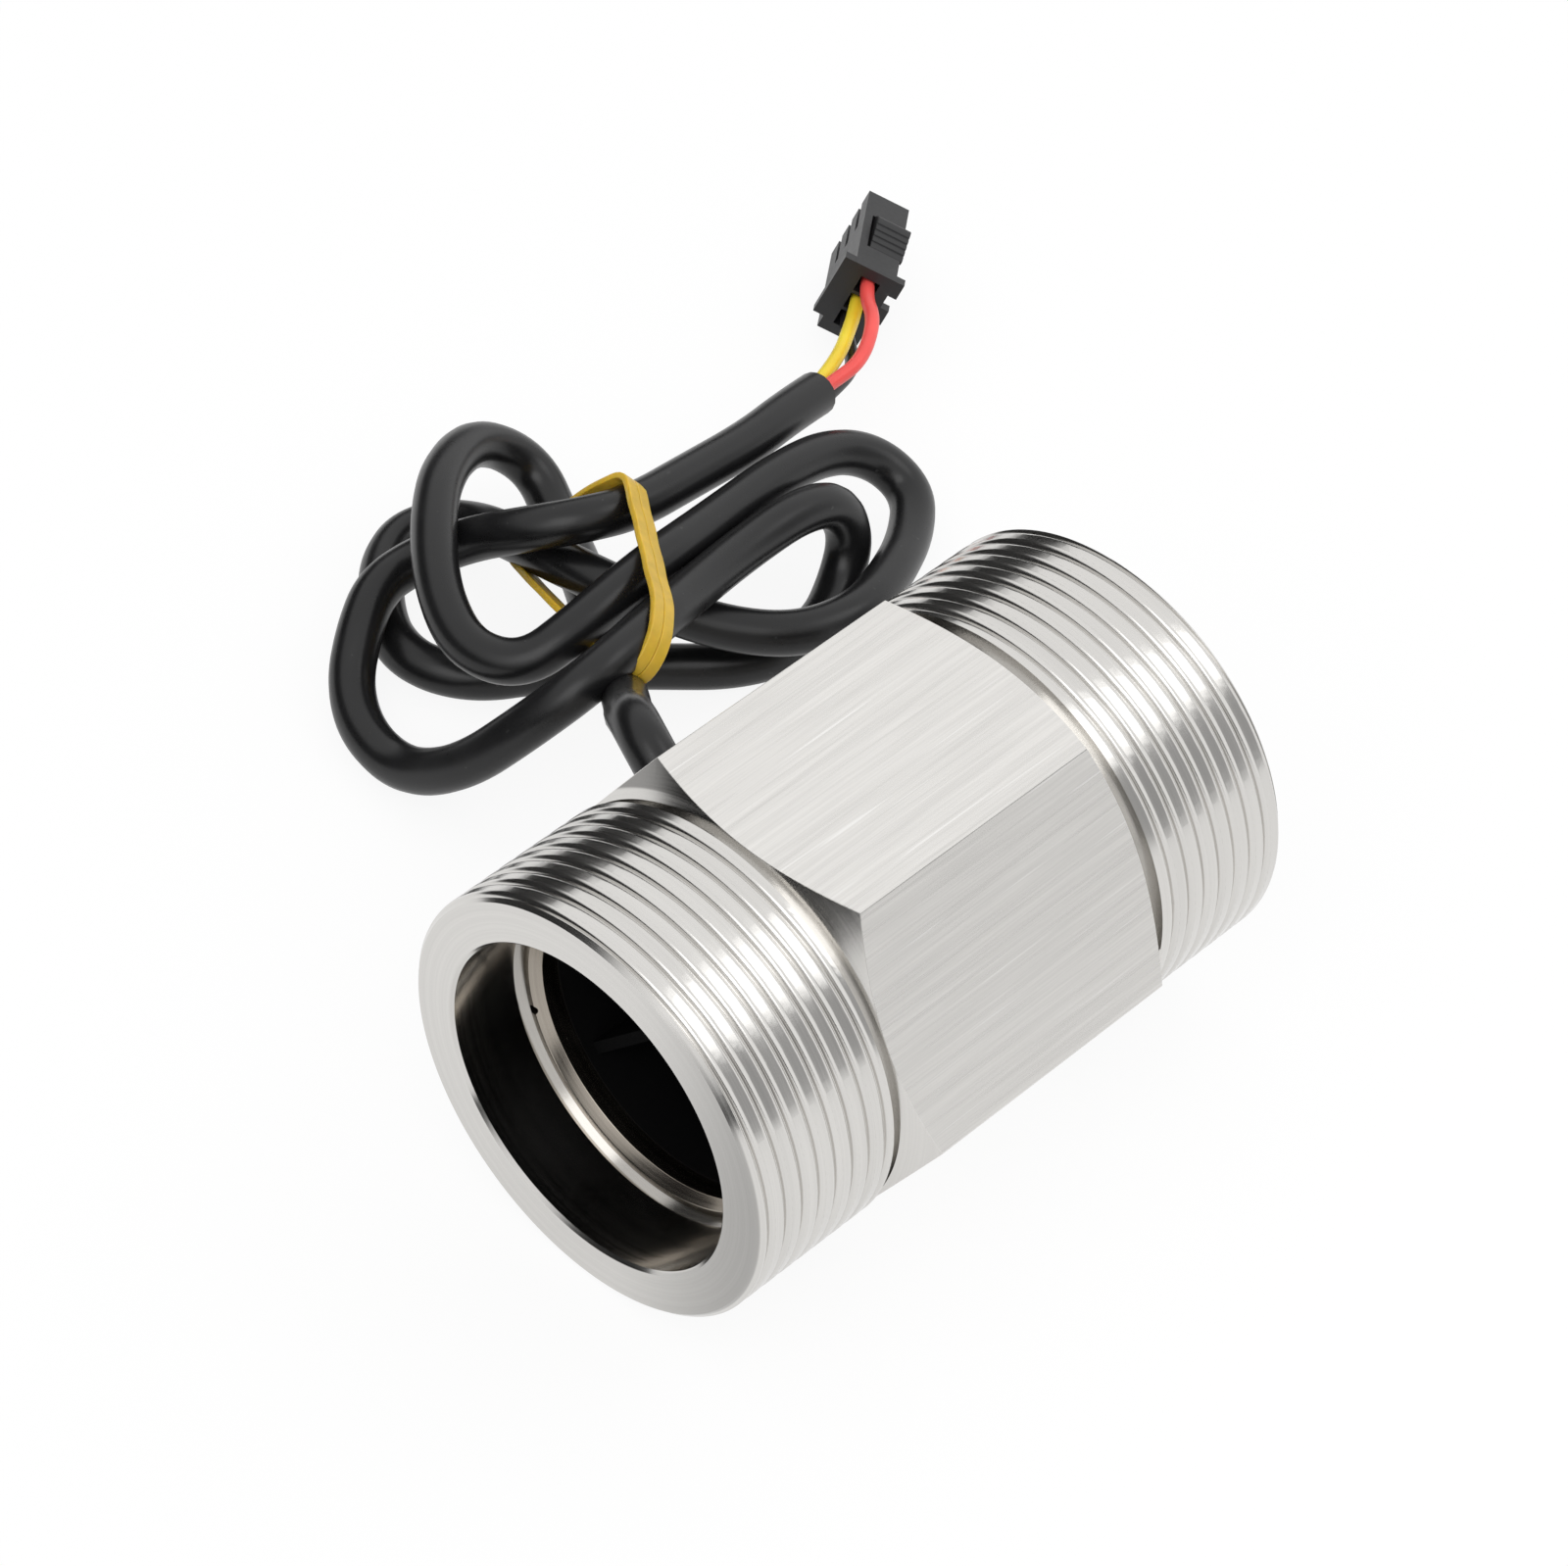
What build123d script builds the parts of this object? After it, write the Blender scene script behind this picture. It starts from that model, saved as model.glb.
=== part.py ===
from build123d import *
import math
import os

os.makedirs("parts", exist_ok=True)

# Turbine flow meter with a hexagonal steel body, sizes in millimetres.
# X runs along the bore from the inlet to the outlet, and Z is up.
# The origin is the middle of the bore, and the meter lies on its thread crests.

# Steel body
body_length = 75.5
port_thread_d = 47.8
port_thread_length = 18.3
port_chamfer = 0.65
relief_width = 1.3
relief_d = 44.6
hex_across_flats = 47.2
hex_turning_angle = 30.0
hex_turning_land = 0.1
mouth_d = 37.0
mouth_depth = 8.4
mouth_chamfer = 0.4
bore_groove_depth = 0.6
bore_groove_width = 1.1
bore_step = 0.3

# Retaining rings
ring_width = 1.7
ring_thickness = 3.0
ring_bevel = 0.9
spanner_hole_d = 1.1
spanner_hole_depth = 1.6
spanner_hole_angle = -22.0
spanner_hole_count = 2

# Turbine cartridge
slide_clearance = 0.05
cartridge_wall = 1.55
support_length = 8.0
support_hub_d = 17.0
support_vane_count = 4
support_vane_thickness = 1.3
support_nose_length = 8.5
support_hub_length = 17.0
vane_sweep = 3.0
vane_inset = 1.0
vane_root = 0.5
seal_groove_width = 1.3
seal_groove_depth = 0.85
seal_inset = 3.0
seal_clearance = 0.02

# Rotor and its bearings
rotor_hub_d = 17.0
rotor_length = 14.0
rotor_gap = 0.8
blade_count = 8
blade_twist = 42.0
blade_root_thickness = 1.7
blade_tip_thickness = 1.0
blade_tip_clearance = 0.4
blade_end_inset = 0.3
blade_root = 0.5
blade_sections = 5
rotor_recess_depth = 2.2
rotor_recess_inner_d = 6.6
rotor_recess_outer_d = 13.0
shaft_d = 3.0
shaft_clearance = 0.04
shaft_end_gap = 0.3
shaft_end_chamfer = 0.3
bush_d = 5.5
bush_length = 6.0
thrust_pad_thickness = 1.2
magnet_d = 4.0
magnet_length = 4.0
magnet_inset = 0.15
magnet_count = 4

# Sensor in its pocket on the upper rear flat
flat_angle = 30.0
pocket_length = 17.4
pocket_width = 9.4
pocket_depth = 3.6
pocket_x = -3.1
potting_proud = 0.7
potting_round = 0.5
board_length = 7.8
board_width = 7.4
board_thickness = 1.0
board_gap = 1.8
board_x = -0.7
hall_length = 4.1
hall_width = 3.0
hall_thickness = 1.5
hall_x = 1.0
lead_width = 0.4
lead_length = 1.0
lead_pitch = 1.016
chip_sizes = ((2.0, 1.25, 0.7, 1.6), (1.6, 0.8, 0.45, -1.6))

# Cord
cord_d = 5.1
wire_d = 1.65
wire_gap = 0.05
lay_z = -21.3
run_share = 0.45

# Rubber band round the cord
band_width = 2.6
band_thickness = 0.8
band_clearance = 0.2
band_origin = (19.4, 42.6)
band_heading = 58.66
band_reach = 25.0
band_lowest = -18.0

# Connector, seen from its rear end: X is forward, Z is up
connector_origin = (78.35, 73.04, -15.37)
connector_forward = (0.7816, 0.5929, -0.1938)
connector_up = (0.3655, -0.1834, 0.9126)
housing_length = 16.4
housing_width = 5.15
housing_height = 9.7
housing_round = 0.3
flange_thickness = 1.3
flange_left = 3.9
flange_right = 3.65
flange_low = 3.3
tab_height = 2.1
tab_gap = 1.8
contact_pitch = 2.5
way_width = 2.4
way_height = 2.1
barrel_d = 2.0
barrel_stop = 1.0
way_end = 1.0
shroud_depth = 7.5
shroud_wall = 0.8
shroud_roof = 0.25
slot_length = 5.3
slot_width = 0.8
pin_size = 0.64
pin_recess = 1.2
wire_depth = 3.0
wire_lead = 2.0
latch_rear = 4.7
latch_length = 6.7
latch_left = 1.27
latch_overhang = 0.3
latch_thickness = 0.5
latch_recess = 1.0
latch_gap = 0.1
latch_slit = 0.35
latch_nose = 0.2
pad_height = 1.35
pad_ridge = 0.68
rib_count = 4
rib_width = 0.35
rib_depth = 0.2

# The cord's route from the potting to the end of its sheath, point by point
cord_route = [
    (-9, 18.0, 11.0), (-8.75, 20.2, 12.2), (-8, 22.35, 12.45), (-6.6, 24.7, 11.7),
    (-4.1, 27.15, 8.9), (0, 30.5, 3.5), (6.5, 37.5, -5), (17, 48, -15.5),
    (22.5, 55.5, -16.5), (28, 64.5, lay_z), (33, 74, lay_z), (35.5, 81.5, -18.5),
    (29.5, 85, -13.5), (18.5, 80, -9.5), (11, 72.5, -8.5), (5.5, 65.5, -9),
    (3.5, 59, -10), (6.5, 53, -9.5), (12.5, 51.5, -6.5), (23, 53, -6),
    (37, 55.5, -9), (48.5, 56.5, -11), (57.5, 58, -13.5), (65.5, 57.5, -17),
    (67, 50.5, -19.5), (60.5, 45, -18.5), (51, 41, -16.5), (43.5, 38.5, -15),
    (36.5, 39, -14.5), (29, 47.5, -14.5), (24, 53.5, -11.5), (22.5, 60, -12),
    (23, 69.5, -15.5), (24.5, 77.5, -19), (24.5, 84.5, -21), (18, 87, lay_z),
    (11.5, 82, lay_z), (6.5, 75, lay_z), (6, 67.5, lay_z), (10.5, 62, lay_z),
    (16, 57.5, lay_z), (18.5, 53.5, lay_z), (23, 51, lay_z), (27.5, 49, lay_z),
    (30, 44.5, lay_z), (36, 41.5, lay_z), (43.5, 42.5, lay_z), (50.5, 46, -21),
    (54, 48, -16.5), (52, 50.5, -11), (44.5, 51, -9.5), (36.5, 50, -9),
    (28, 48.5, -8), (18, 47, -6), (7, 44.5, -5), (0.5, 46.5, -9.5),
    (-4.5, 50.5, -16), (-6.5, 57.5, lay_z), (-6.5, 64.5, lay_z), (-3, 70.5, -20),
    (1, 74, -17), (7, 76.5, -15), (13.5, 76.5, -15), (18, 72.5, -12.5),
    (19.5, 65.5, -7), (24, 62, -6), (30, 60.5, -7), (39, 61, -9),
    (49.5, 62, -10.5), (57.5, 63.5, -12), (63.5, 64.5, -13.5),
]

# The bare wires' points between the sheath's end and the connector
wire_routes = {
    "yellow_wire": [(69.2, 67.5, -13.9), (73.0, 69.7, -14.4)],
    "red_wire": [(69.8, 65.3, -12.6), (73.6, 67.3, -12.1)],
    "black_wire": [(68.6, 65.6, -16.0), (72.4, 68.2, -17.0)],
}
wire_clock = {"yellow_wire": 30.0, "red_wire": 150.0, "black_wire": -90.0}
wire_level = {"yellow_wire": 0, "red_wire": 1, "black_wire": -1}

# Worked out from the sizes above
body_end = body_length / 2
hex_end = body_end - port_thread_length - relief_width
flat_distance = hex_across_flats / 2
hex_corner = flat_distance / math.cos(math.radians(30))
mouth_r = mouth_d / 2
bore_groove_r = mouth_r + bore_groove_depth
ring_seat_r = mouth_r - bore_step
ring_inner_r = ring_seat_r - ring_width
ring_front = body_end - mouth_depth - bore_groove_width
ring_back = ring_front - ring_thickness
cartridge_bore_r = ring_seat_r - bore_step
cartridge_r = cartridge_bore_r - slide_clearance
flow_r = cartridge_r - cartridge_wall
sleeve_end = ring_back - support_length
rotor_end = rotor_length / 2
hub_face = rotor_end + rotor_gap
bush_end = hub_face + bush_length
pad_end = bush_end + thrust_pad_thickness
blade_tip_r = flow_r - blade_tip_clearance
pocket_plane = Plane(
    origin=(0, flat_distance * math.cos(math.radians(flat_angle)),
            flat_distance * math.sin(math.radians(flat_angle))),
    x_dir=(1, 0, 0),
    z_dir=(0, math.cos(math.radians(flat_angle)), math.sin(math.radians(flat_angle))))
connector_plane = Plane(origin=connector_origin, x_dir=connector_forward, z_dir=connector_up)

# How far a cutting tool reaches past what it cuts
cut_margin = 1.0


def turned(outline):
    """A solid turned about X from the (x, radius) points of its section."""
    return revolve(make_face(Polyline(*outline, close=True)), axis=Axis.X)


def both_ends(half):
    """The points of an outline with its mirror image at the other end."""
    return half + [(-x, r) for x, r in reversed(half)]


def at_angle(solid, angle):
    """A solid turned about the bore's axis."""
    return Rot(X=angle) * solid


def save(name, solid):
    """Write one piece to its own file."""
    solid.label = name
    export_step(solid, "parts/" + name + ".step")


def box_between(low, high):
    """A box from its lowest to its highest corner."""
    size = [b - a for a, b in zip(low, high)]
    return Pos(*low) * Box(*size, align=(Align.MIN, Align.MIN, Align.MIN))


def make_body():
    """Hexagonal body with a male pipe thread on each end and the sensor's pocket."""
    thread_r = port_thread_d / 2
    thread_end = body_end - port_thread_length
    ends = turned(both_ends([
        (-body_end, 0), (-body_end, thread_r - port_chamfer),
        (-body_end + port_chamfer, thread_r), (-thread_end, thread_r),
        (-thread_end, relief_d / 2), (-hex_end, relief_d / 2)]))
    land_r = flat_distance - hex_turning_land
    rise = (hex_corner - land_r) * math.tan(math.radians(hex_turning_angle))
    blank = turned(both_ends([
        (-hex_end, 0), (-hex_end, land_r), (-hex_end + rise, hex_corner)]))
    prism = extrude(Plane.YZ * RegularPolygon(hex_corner, 6), hex_end, both=True)
    bore = turned(both_ends([
        (-body_end, 0), (-body_end, mouth_r + mouth_chamfer),
        (-body_end + mouth_chamfer, mouth_r), (-body_end + mouth_depth, mouth_r),
        (-body_end + mouth_depth, bore_groove_r), (-ring_front, bore_groove_r),
        (-ring_front, ring_seat_r), (-ring_back, ring_seat_r), (-ring_back, cartridge_bore_r)]))
    return ends + (prism & blank) - bore - pocket_solid(0)


def pocket_solid(proud):
    """The milled pocket's space, or a filling that stands proud of the flat."""
    slot = Pos(pocket_x, 0) * SlotOverall(pocket_length, pocket_width)
    floor = Plane(pocket_plane.location * Pos(0, 0, -pocket_depth))
    return extrude(floor * slot, pocket_depth + proud)


def make_retaining_ring():
    """Bevelled ring behind the inlet's mouth, with two holes for a pin spanner."""
    ring = turned([
        (-ring_front, ring_seat_r), (-ring_front, ring_inner_r + ring_bevel),
        (-ring_front + ring_bevel, ring_inner_r), (-ring_back, ring_inner_r), (-ring_back, ring_seat_r)])
    hole_r = (ring_seat_r + ring_inner_r + ring_bevel) / 2
    for i in range(spanner_hole_count):
        hole = Pos(-ring_front, hole_r, 0) * Rot(Y=90) * Cylinder(spanner_hole_d / 2, 2 * spanner_hole_depth)
        ring -= at_angle(hole, spanner_hole_angle + i * 360 / spanner_hole_count)
    return ring


def make_support():
    """Inlet support: an outer ring, a pointed hub for the bush, and straightening vanes."""
    ring = turned([
        (-ring_back, cartridge_r), (-ring_back, flow_r),
        (-sleeve_end, flow_r), (-sleeve_end, cartridge_r)])
    hub_r = support_hub_d / 2
    nose_start = hub_face + support_hub_length - support_nose_length
    nose = Plane.XY * Pos(-nose_start, 0) * Ellipse(support_nose_length, hub_r)
    upper_half = Rectangle(4 * body_length, body_length, align=(Align.CENTER, Align.MIN))
    hub = revolve(nose & upper_half, axis=Axis.X)
    hub &= box_between((-nose_start - support_nose_length, -hub_r, -hub_r), (-nose_start, hub_r, hub_r))
    hub += turned([(-nose_start, 0), (-nose_start, hub_r), (-hub_face, hub_r), (-hub_face, 0)])
    vane_r = flow_r - slide_clearance
    root_r = flow_r + vane_root
    tip_x = -ring_back + vane_inset
    tail_x = -hub_face - vane_inset
    vane = make_face(Polyline(
        (tip_x, root_r), (tip_x + vane_sweep, hub_r / 2), (tail_x, hub_r / 2),
        (tail_x - vane_sweep, vane_r), (-sleeve_end, vane_r), (-sleeve_end, root_r), close=True))
    blade = extrude(Plane.XY * vane, support_vane_thickness / 2, both=True)
    support = ring + hub
    for i in range(support_vane_count):
        support += at_angle(blade, 45 + i * 360 / support_vane_count)
    socket = turned([(-pad_end, 0), (-pad_end, bush_d / 2), (-hub_face, bush_d / 2), (-hub_face, 0)])
    return support - socket


def make_sleeve():
    """Cartridge sleeve round the rotor, with a groove for a seal near each end."""
    groove_r = cartridge_r - seal_groove_depth
    start = sleeve_end - seal_inset
    return turned(both_ends([
        (-sleeve_end, flow_r), (-sleeve_end, cartridge_r), (-start, cartridge_r),
        (-start, groove_r), (-start + seal_groove_width, groove_r),
        (-start + seal_groove_width, cartridge_r)]))


def make_seals():
    """Two ring seals between the sleeve and the body's bore."""
    groove_r = cartridge_r - seal_groove_depth
    section_r = (cartridge_bore_r - groove_r) / 2 - seal_clearance
    centre_r = (cartridge_bore_r + groove_r) / 2
    centre_x = sleeve_end - seal_inset - seal_groove_width / 2
    seal = Rot(Y=90) * Torus(centre_r, section_r)
    return Compound([Pos(-centre_x, 0, 0) * seal, Pos(centre_x, 0, 0) * seal])


def make_bush():
    """Inlet bush, pressed into the support's hub."""
    bore_r = shaft_d / 2 + shaft_clearance
    return turned([
        (-bush_end, bush_d / 2), (-bush_end, bore_r), (-hub_face, bore_r), (-hub_face, bush_d / 2)])


def make_thrust_pad():
    """Pad at the bottom of the hub's socket, in front of the shaft's end."""
    return turned([(-pad_end, 0), (-pad_end, bush_d / 2), (-bush_end, bush_d / 2), (-bush_end, 0)])


def make_shaft():
    """Rotor shaft between the two thrust pads."""
    end = bush_end - shaft_end_gap
    r = shaft_d / 2
    return turned(both_ends([(-end, 0), (-end, r - shaft_end_chamfer), (-end + shaft_end_chamfer, r)]))


def blade_section(x):
    """A blade's section at x, turned along the helix."""
    angle = math.radians(blade_twist * x / rotor_length)
    root_r = rotor_hub_d / 2 - cut_margin
    tip_r = blade_tip_r + cut_margin
    plane = Plane(origin=(x, 0, 0), x_dir=(0, math.cos(angle), math.sin(angle)), z_dir=(1, 0, 0))
    return plane * make_face(Polyline(
        (root_r, -blade_root_thickness / 2), (tip_r, -blade_tip_thickness / 2),
        (tip_r, blade_tip_thickness / 2), (root_r, blade_root_thickness / 2), close=True))


def make_rotor():
    """Rotor hub with helical blades, hollowed ends and four magnet pockets."""
    hub_r = rotor_hub_d / 2
    inner = rotor_recess_inner_d / 2
    outer = rotor_recess_outer_d / 2
    floor = rotor_end - rotor_recess_depth
    hub = turned(both_ends([
        (-rotor_end, shaft_d / 2), (-rotor_end, inner), (-floor, inner),
        (-floor, outer), (-rotor_end, outer), (-rotor_end, hub_r)]))
    reach = rotor_end - blade_end_inset
    stations = [-reach + 2 * reach * i / (blade_sections - 1) for i in range(blade_sections)]
    blade = loft([blade_section(x) for x in stations])
    blade &= Rot(Y=90) * Cylinder(blade_tip_r, rotor_length)
    blade -= Rot(Y=90) * Cylinder(hub_r - blade_root, rotor_length)
    rotor = hub
    for i in range(blade_count):
        rotor += at_angle(blade, i * 360 / blade_count)
    for i in range(magnet_count):
        rotor -= magnet_solid(i, hub_r + cut_margin)
    return rotor


def magnet_solid(index, outer_r):
    """One radial magnet, or its pocket, from its seat to outer_r."""
    inner_r = rotor_hub_d / 2 - magnet_inset - magnet_length
    length = outer_r - inner_r
    between_blades = 180 / blade_count
    magnet = Pos(0, inner_r + length / 2, 0) * Rot(X=90) * Cylinder(magnet_d / 2, length)
    return at_angle(magnet, between_blades + index * 360 / magnet_count)


def make_magnets():
    """Four magnets set into the rotor's hub."""
    outer_r = rotor_hub_d / 2 - magnet_inset
    return Compound([magnet_solid(i, outer_r) for i in range(magnet_count)])


def in_pocket(solid):
    """Place a solid drawn on the pocket's floor."""
    return pocket_plane.location * Pos(0, 0, -pocket_depth) * solid


def make_board():
    """Circuit board over the Hall sensor."""
    half = board_length / 2
    return in_pocket(box_between(
        (board_x - half, -board_width / 2, board_gap),
        (board_x + half, board_width / 2, board_gap + board_thickness)))


def make_hall_sensor():
    """Hall sensor with a chamfered front and three leads, on the pocket's floor."""
    body = Pos(hall_x, 0, hall_thickness / 2) * Box(hall_length, hall_width, hall_thickness)
    body = chamfer(body.edges().filter_by(Axis.X).group_by(Axis.Z)[0], hall_thickness / 3)
    lead_start = hall_x - hall_length / 2
    for i in (-1, 0, 1):
        right = i * lead_pitch - lead_width / 2
        left = right + lead_width
        low = hall_thickness / 2 - lead_width / 2
        lead_end = lead_start - lead_length
        body += box_between((lead_end, right, low), (lead_start, left, low + lead_width))
        body += box_between((lead_end, right, low), (lead_end + lead_width, left, board_gap))
    return in_pocket(body)


def make_chips():
    """Small parts soldered on top of the board."""
    top = board_gap + board_thickness
    return Compound([
        in_pocket(Pos(board_x, y, top + height / 2) * Box(length, width, height))
        for length, width, height, y in chip_sizes])


def make_potting(inside):
    """Black resin that fills the pocket round the pieces in it."""
    filling = pocket_solid(potting_proud)
    rim = filling.faces().sort_by(Axis((0, 0, 0), pocket_plane.z_dir))[-1]
    filling = fillet(rim.edges(), potting_round)
    for piece in inside:
        filling -= piece
    return filling


def tube_path(points):
    """Straight runs joined by tangent arcs, and the arcs' radii."""
    vectors = [Vector(*p) for p in points]
    runs = [b - a for a, b in zip(vectors, vectors[1:])]
    radii = []
    for before, after in zip(runs, runs[1:]):
        half_turn = math.radians(before.get_angle(after) / 2)
        radii.append(run_share * min(before.length, after.length) / math.tan(half_turn))
    return FilletPolyline(*points, radius=radii), radii


def make_tube(points, diameter):
    """A round cord along its points."""
    path, radii = tube_path(points)
    start = Plane(origin=path @ 0, z_dir=path % 0)
    return sweep(start * Circle(diameter / 2), path=path), path.length, radii


def make_wire(name):
    """One bare wire from the sheath's end to its contact."""
    sheath_end = Vector(*cord_route[-1])
    heading = (sheath_end - Vector(*cord_route[-2])).normalized()
    end_plane = Plane(origin=sheath_end, z_dir=heading, x_dir=Vector(0, 0, 1).cross(heading))
    clock = math.radians(wire_clock[name])
    spread = wire_d / 2 / math.sin(math.radians(60)) + wire_gap
    first = end_plane.from_local_coords((spread * math.cos(clock), spread * math.sin(clock), 0))
    lead = first + heading * wire_lead
    level = contact_pitch * wire_level[name]
    last = connector_plane.from_local_coords((wire_depth, 0, level))
    before = connector_plane.from_local_coords((-wire_lead, 0, level))
    points = [tuple(first), tuple(lead)] + wire_routes[name] + [tuple(before), tuple(last)]
    tube, length, radii = make_tube(points, wire_d)
    print(name, "length", round(length, 1), "radii", [round(r, 1) for r in radii])
    return tube


def cavity_levels():
    """The heights of the three contact ways."""
    return [contact_pitch, 0, -contact_pitch]


def make_housing():
    """Connector housing: shroud, rear flange, contact ways, front slots and the latch's recess."""
    half_w = housing_width / 2
    half_h = housing_height / 2
    block = box_between((flange_thickness, -half_w, -half_h), (housing_length, half_w, half_h))
    block = fillet(block.edges().filter_by(Axis.X), housing_round)
    flange = box_between((0, -half_w, -half_h), (flange_thickness, half_w, half_h))
    flange += box_between((0, 0, -flange_low), (flange_thickness, flange_left, half_h))
    second = half_h - tab_height - tab_gap
    flange += box_between((0, -flange_right, half_h - tab_height), (flange_thickness, 0, half_h))
    flange += box_between((0, -flange_right, second - tab_height), (flange_thickness, 0, second))
    housing = block + flange
    shroud_w = half_w - shroud_wall
    shroud_h = half_h - latch_recess - shroud_roof
    past_front = housing_length + cut_margin
    housing -= box_between((housing_length - shroud_depth, -shroud_w, -shroud_h),
                           (past_front, shroud_w, shroud_h))
    for level in cavity_levels():
        housing -= box_between((-cut_margin, -way_width / 2, level - way_height / 2),
                               (housing_length - way_end, way_width / 2, level + way_height / 2))
        housing -= box_between((housing_length - slot_length, 0, level - slot_width / 2),
                               (past_front, half_w + cut_margin, level + slot_width / 2))
    recess_end = latch_rear + latch_length + latch_gap
    housing -= box_between((latch_rear - latch_gap, -half_w - cut_margin, half_h - latch_recess),
                           (recess_end, latch_left + latch_slit, half_h + cut_margin))
    return connector_plane.location * housing


def make_latch():
    """Ribbed latch lever on the connector's narrow top side."""
    top = housing_height / 2
    under = top - latch_thickness
    rear = latch_rear
    front = latch_rear + latch_length
    ridge = rear + latch_length * pad_ridge
    outline = make_face(Polyline(
        (rear, under), (rear, top), (ridge, top + pad_height), (front, top + latch_nose),
        (front, under), close=True))
    depth = latch_left + housing_width / 2 + latch_overhang
    lever = extrude(Plane(origin=(0, latch_left, 0), x_dir=(1, 0, 0), z_dir=(0, -1, 0)) * outline, depth)
    slope = math.degrees(math.atan2(pad_height, ridge - rear))
    for i in range(rib_count):
        share = (i + 1) / (rib_count + 1)
        x = rear + share * (ridge - rear)
        groove = Box(rib_width, 2 * housing_width, 2 * rib_depth)
        lever -= Pos(x, 0, top + share * pad_height) * Rot(Y=-slope) * groove
    return connector_plane.location * lever


def make_contacts():
    """Three crimped contacts with square pins inside the shroud."""
    contacts = []
    for level in cavity_levels():
        barrel_length = housing_length - shroud_depth - wire_depth - barrel_stop
        barrel = Pos(wire_depth, 0, level) * Rot(Y=90) * Cylinder(
            barrel_d / 2, barrel_length, align=(Align.CENTER, Align.CENTER, Align.MIN))
        pin = box_between((wire_depth + barrel_length, -pin_size / 2, level - pin_size / 2),
                          (housing_length - pin_recess, pin_size / 2, level + pin_size / 2))
        contacts.append(connector_plane.location * (barrel + pin))
    return Compound(contacts)


def band_crossings(plane, offset):
    """Where the cord passes a plane beside the band's middle, and each strand's half width there."""
    found = []
    for a, b in zip(cord_route, cord_route[1:]):
        start = plane.to_local_coords(Vector(*a)) - Vector(0, 0, offset)
        end = plane.to_local_coords(Vector(*b)) - Vector(0, 0, offset)
        if start.Z * end.Z >= 0:
            continue
        share = start.Z / (start.Z - end.Z)
        hit = start + (end - start) * share
        if 0 < hit.X < band_reach and hit.Y > band_lowest:
            slant = abs((end - start).normalized().Z)
            found.append((hit.X, hit.Y, cord_d / 2 / slant))
    return found


def make_band():
    """Rubber band stretched round the strands that cross its plane."""
    heading = math.radians(band_heading)
    along = (math.cos(heading), math.sin(heading), 0)
    across = (math.sin(heading), -math.cos(heading), 0)
    plane = Plane(origin=(*band_origin, 0), x_dir=along, z_dir=across)
    crossings = []
    for offset in (-band_width / 2, 0, band_width / 2):
        crossings += band_crossings(plane, offset)
    print("band goes round", [tuple(round(v, 1) for v in c) for c in crossings])

    def hull(grow):
        rims = []
        for s, z, half in crossings:
            rims += (Pos(s, z) * Circle(half + grow)).edges()
        return make_hull(rims)

    section = hull(band_clearance + band_thickness) - hull(band_clearance)
    return extrude(plane * section, band_width / 2, both=True)


cable, cable_length, cable_radii = make_tube(cord_route, cord_d)
sheath_area = math.pi * cord_d ** 2 / 4
print("cord length", round(cable_length, 1),
      "volume share", round(cable.volume / sheath_area / cable_length, 4))
print("cord radii", [round(r, 1) for r in cable_radii])

board = make_board()
hall_sensor = make_hall_sensor()
chips = make_chips()
support = make_support()
retaining_ring = make_retaining_ring()
bush = make_bush()
thrust_pad = make_thrust_pad()

save("meter_body", make_body())
save("inlet_retaining_ring", retaining_ring)
save("outlet_retaining_ring", Rot(Z=180) * retaining_ring)
save("inlet_support", support)
save("outlet_support", Rot(Z=180) * support)
save("turbine_sleeve", make_sleeve())
save("sleeve_seals", make_seals())
save("inlet_bush", bush)
save("outlet_bush", Rot(Z=180) * bush)
save("inlet_thrust_pad", thrust_pad)
save("outlet_thrust_pad", Rot(Z=180) * thrust_pad)
save("rotor_shaft", make_shaft())
save("turbine_rotor", make_rotor())
save("rotor_magnets", make_magnets())
save("sensor_board", board)
save("hall_sensor", hall_sensor)
save("board_chips", chips)
save("sensor_potting", make_potting([board, hall_sensor, chips, cable]))
save("sensor_cable", cable)
for wire in wire_routes:
    save(wire, make_wire(wire))
save("connector_housing", make_housing())
save("connector_latch", make_latch())
save("connector_contacts", make_contacts())
save("rubber_band", make_band())
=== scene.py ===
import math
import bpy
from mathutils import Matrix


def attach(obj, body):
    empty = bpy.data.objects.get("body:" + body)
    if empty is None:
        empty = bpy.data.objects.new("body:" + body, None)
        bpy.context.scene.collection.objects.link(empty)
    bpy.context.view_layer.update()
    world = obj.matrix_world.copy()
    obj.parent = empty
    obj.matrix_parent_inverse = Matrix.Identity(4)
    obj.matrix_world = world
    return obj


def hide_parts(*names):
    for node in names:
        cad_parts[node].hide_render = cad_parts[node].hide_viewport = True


bl_info = {
    "name": "Turbine Flow Meter",
    "version": (1, 0, 0),
    "blender": (4, 5, 0),
    "location": "3D View > Sidebar > Flow Meter",
    "description": "Models the looks of a hexagonal steel flow meter round its CAD frame",
    "category": "Add Mesh",
}

import bmesh
import bpy
from bpy.props import FloatProperty, FloatVectorProperty, IntProperty, PointerProperty
from mathutils import Matrix, Vector
from mathutils.geometry import convex_hull_2d

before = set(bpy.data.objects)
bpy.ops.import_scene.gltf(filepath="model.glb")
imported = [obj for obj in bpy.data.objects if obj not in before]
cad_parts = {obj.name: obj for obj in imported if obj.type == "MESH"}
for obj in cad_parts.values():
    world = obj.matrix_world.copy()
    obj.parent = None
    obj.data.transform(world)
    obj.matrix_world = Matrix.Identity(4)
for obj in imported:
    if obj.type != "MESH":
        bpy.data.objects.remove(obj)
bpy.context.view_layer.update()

MM = 0.001
MERGE = 1e-6
BODY = "meter"
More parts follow.
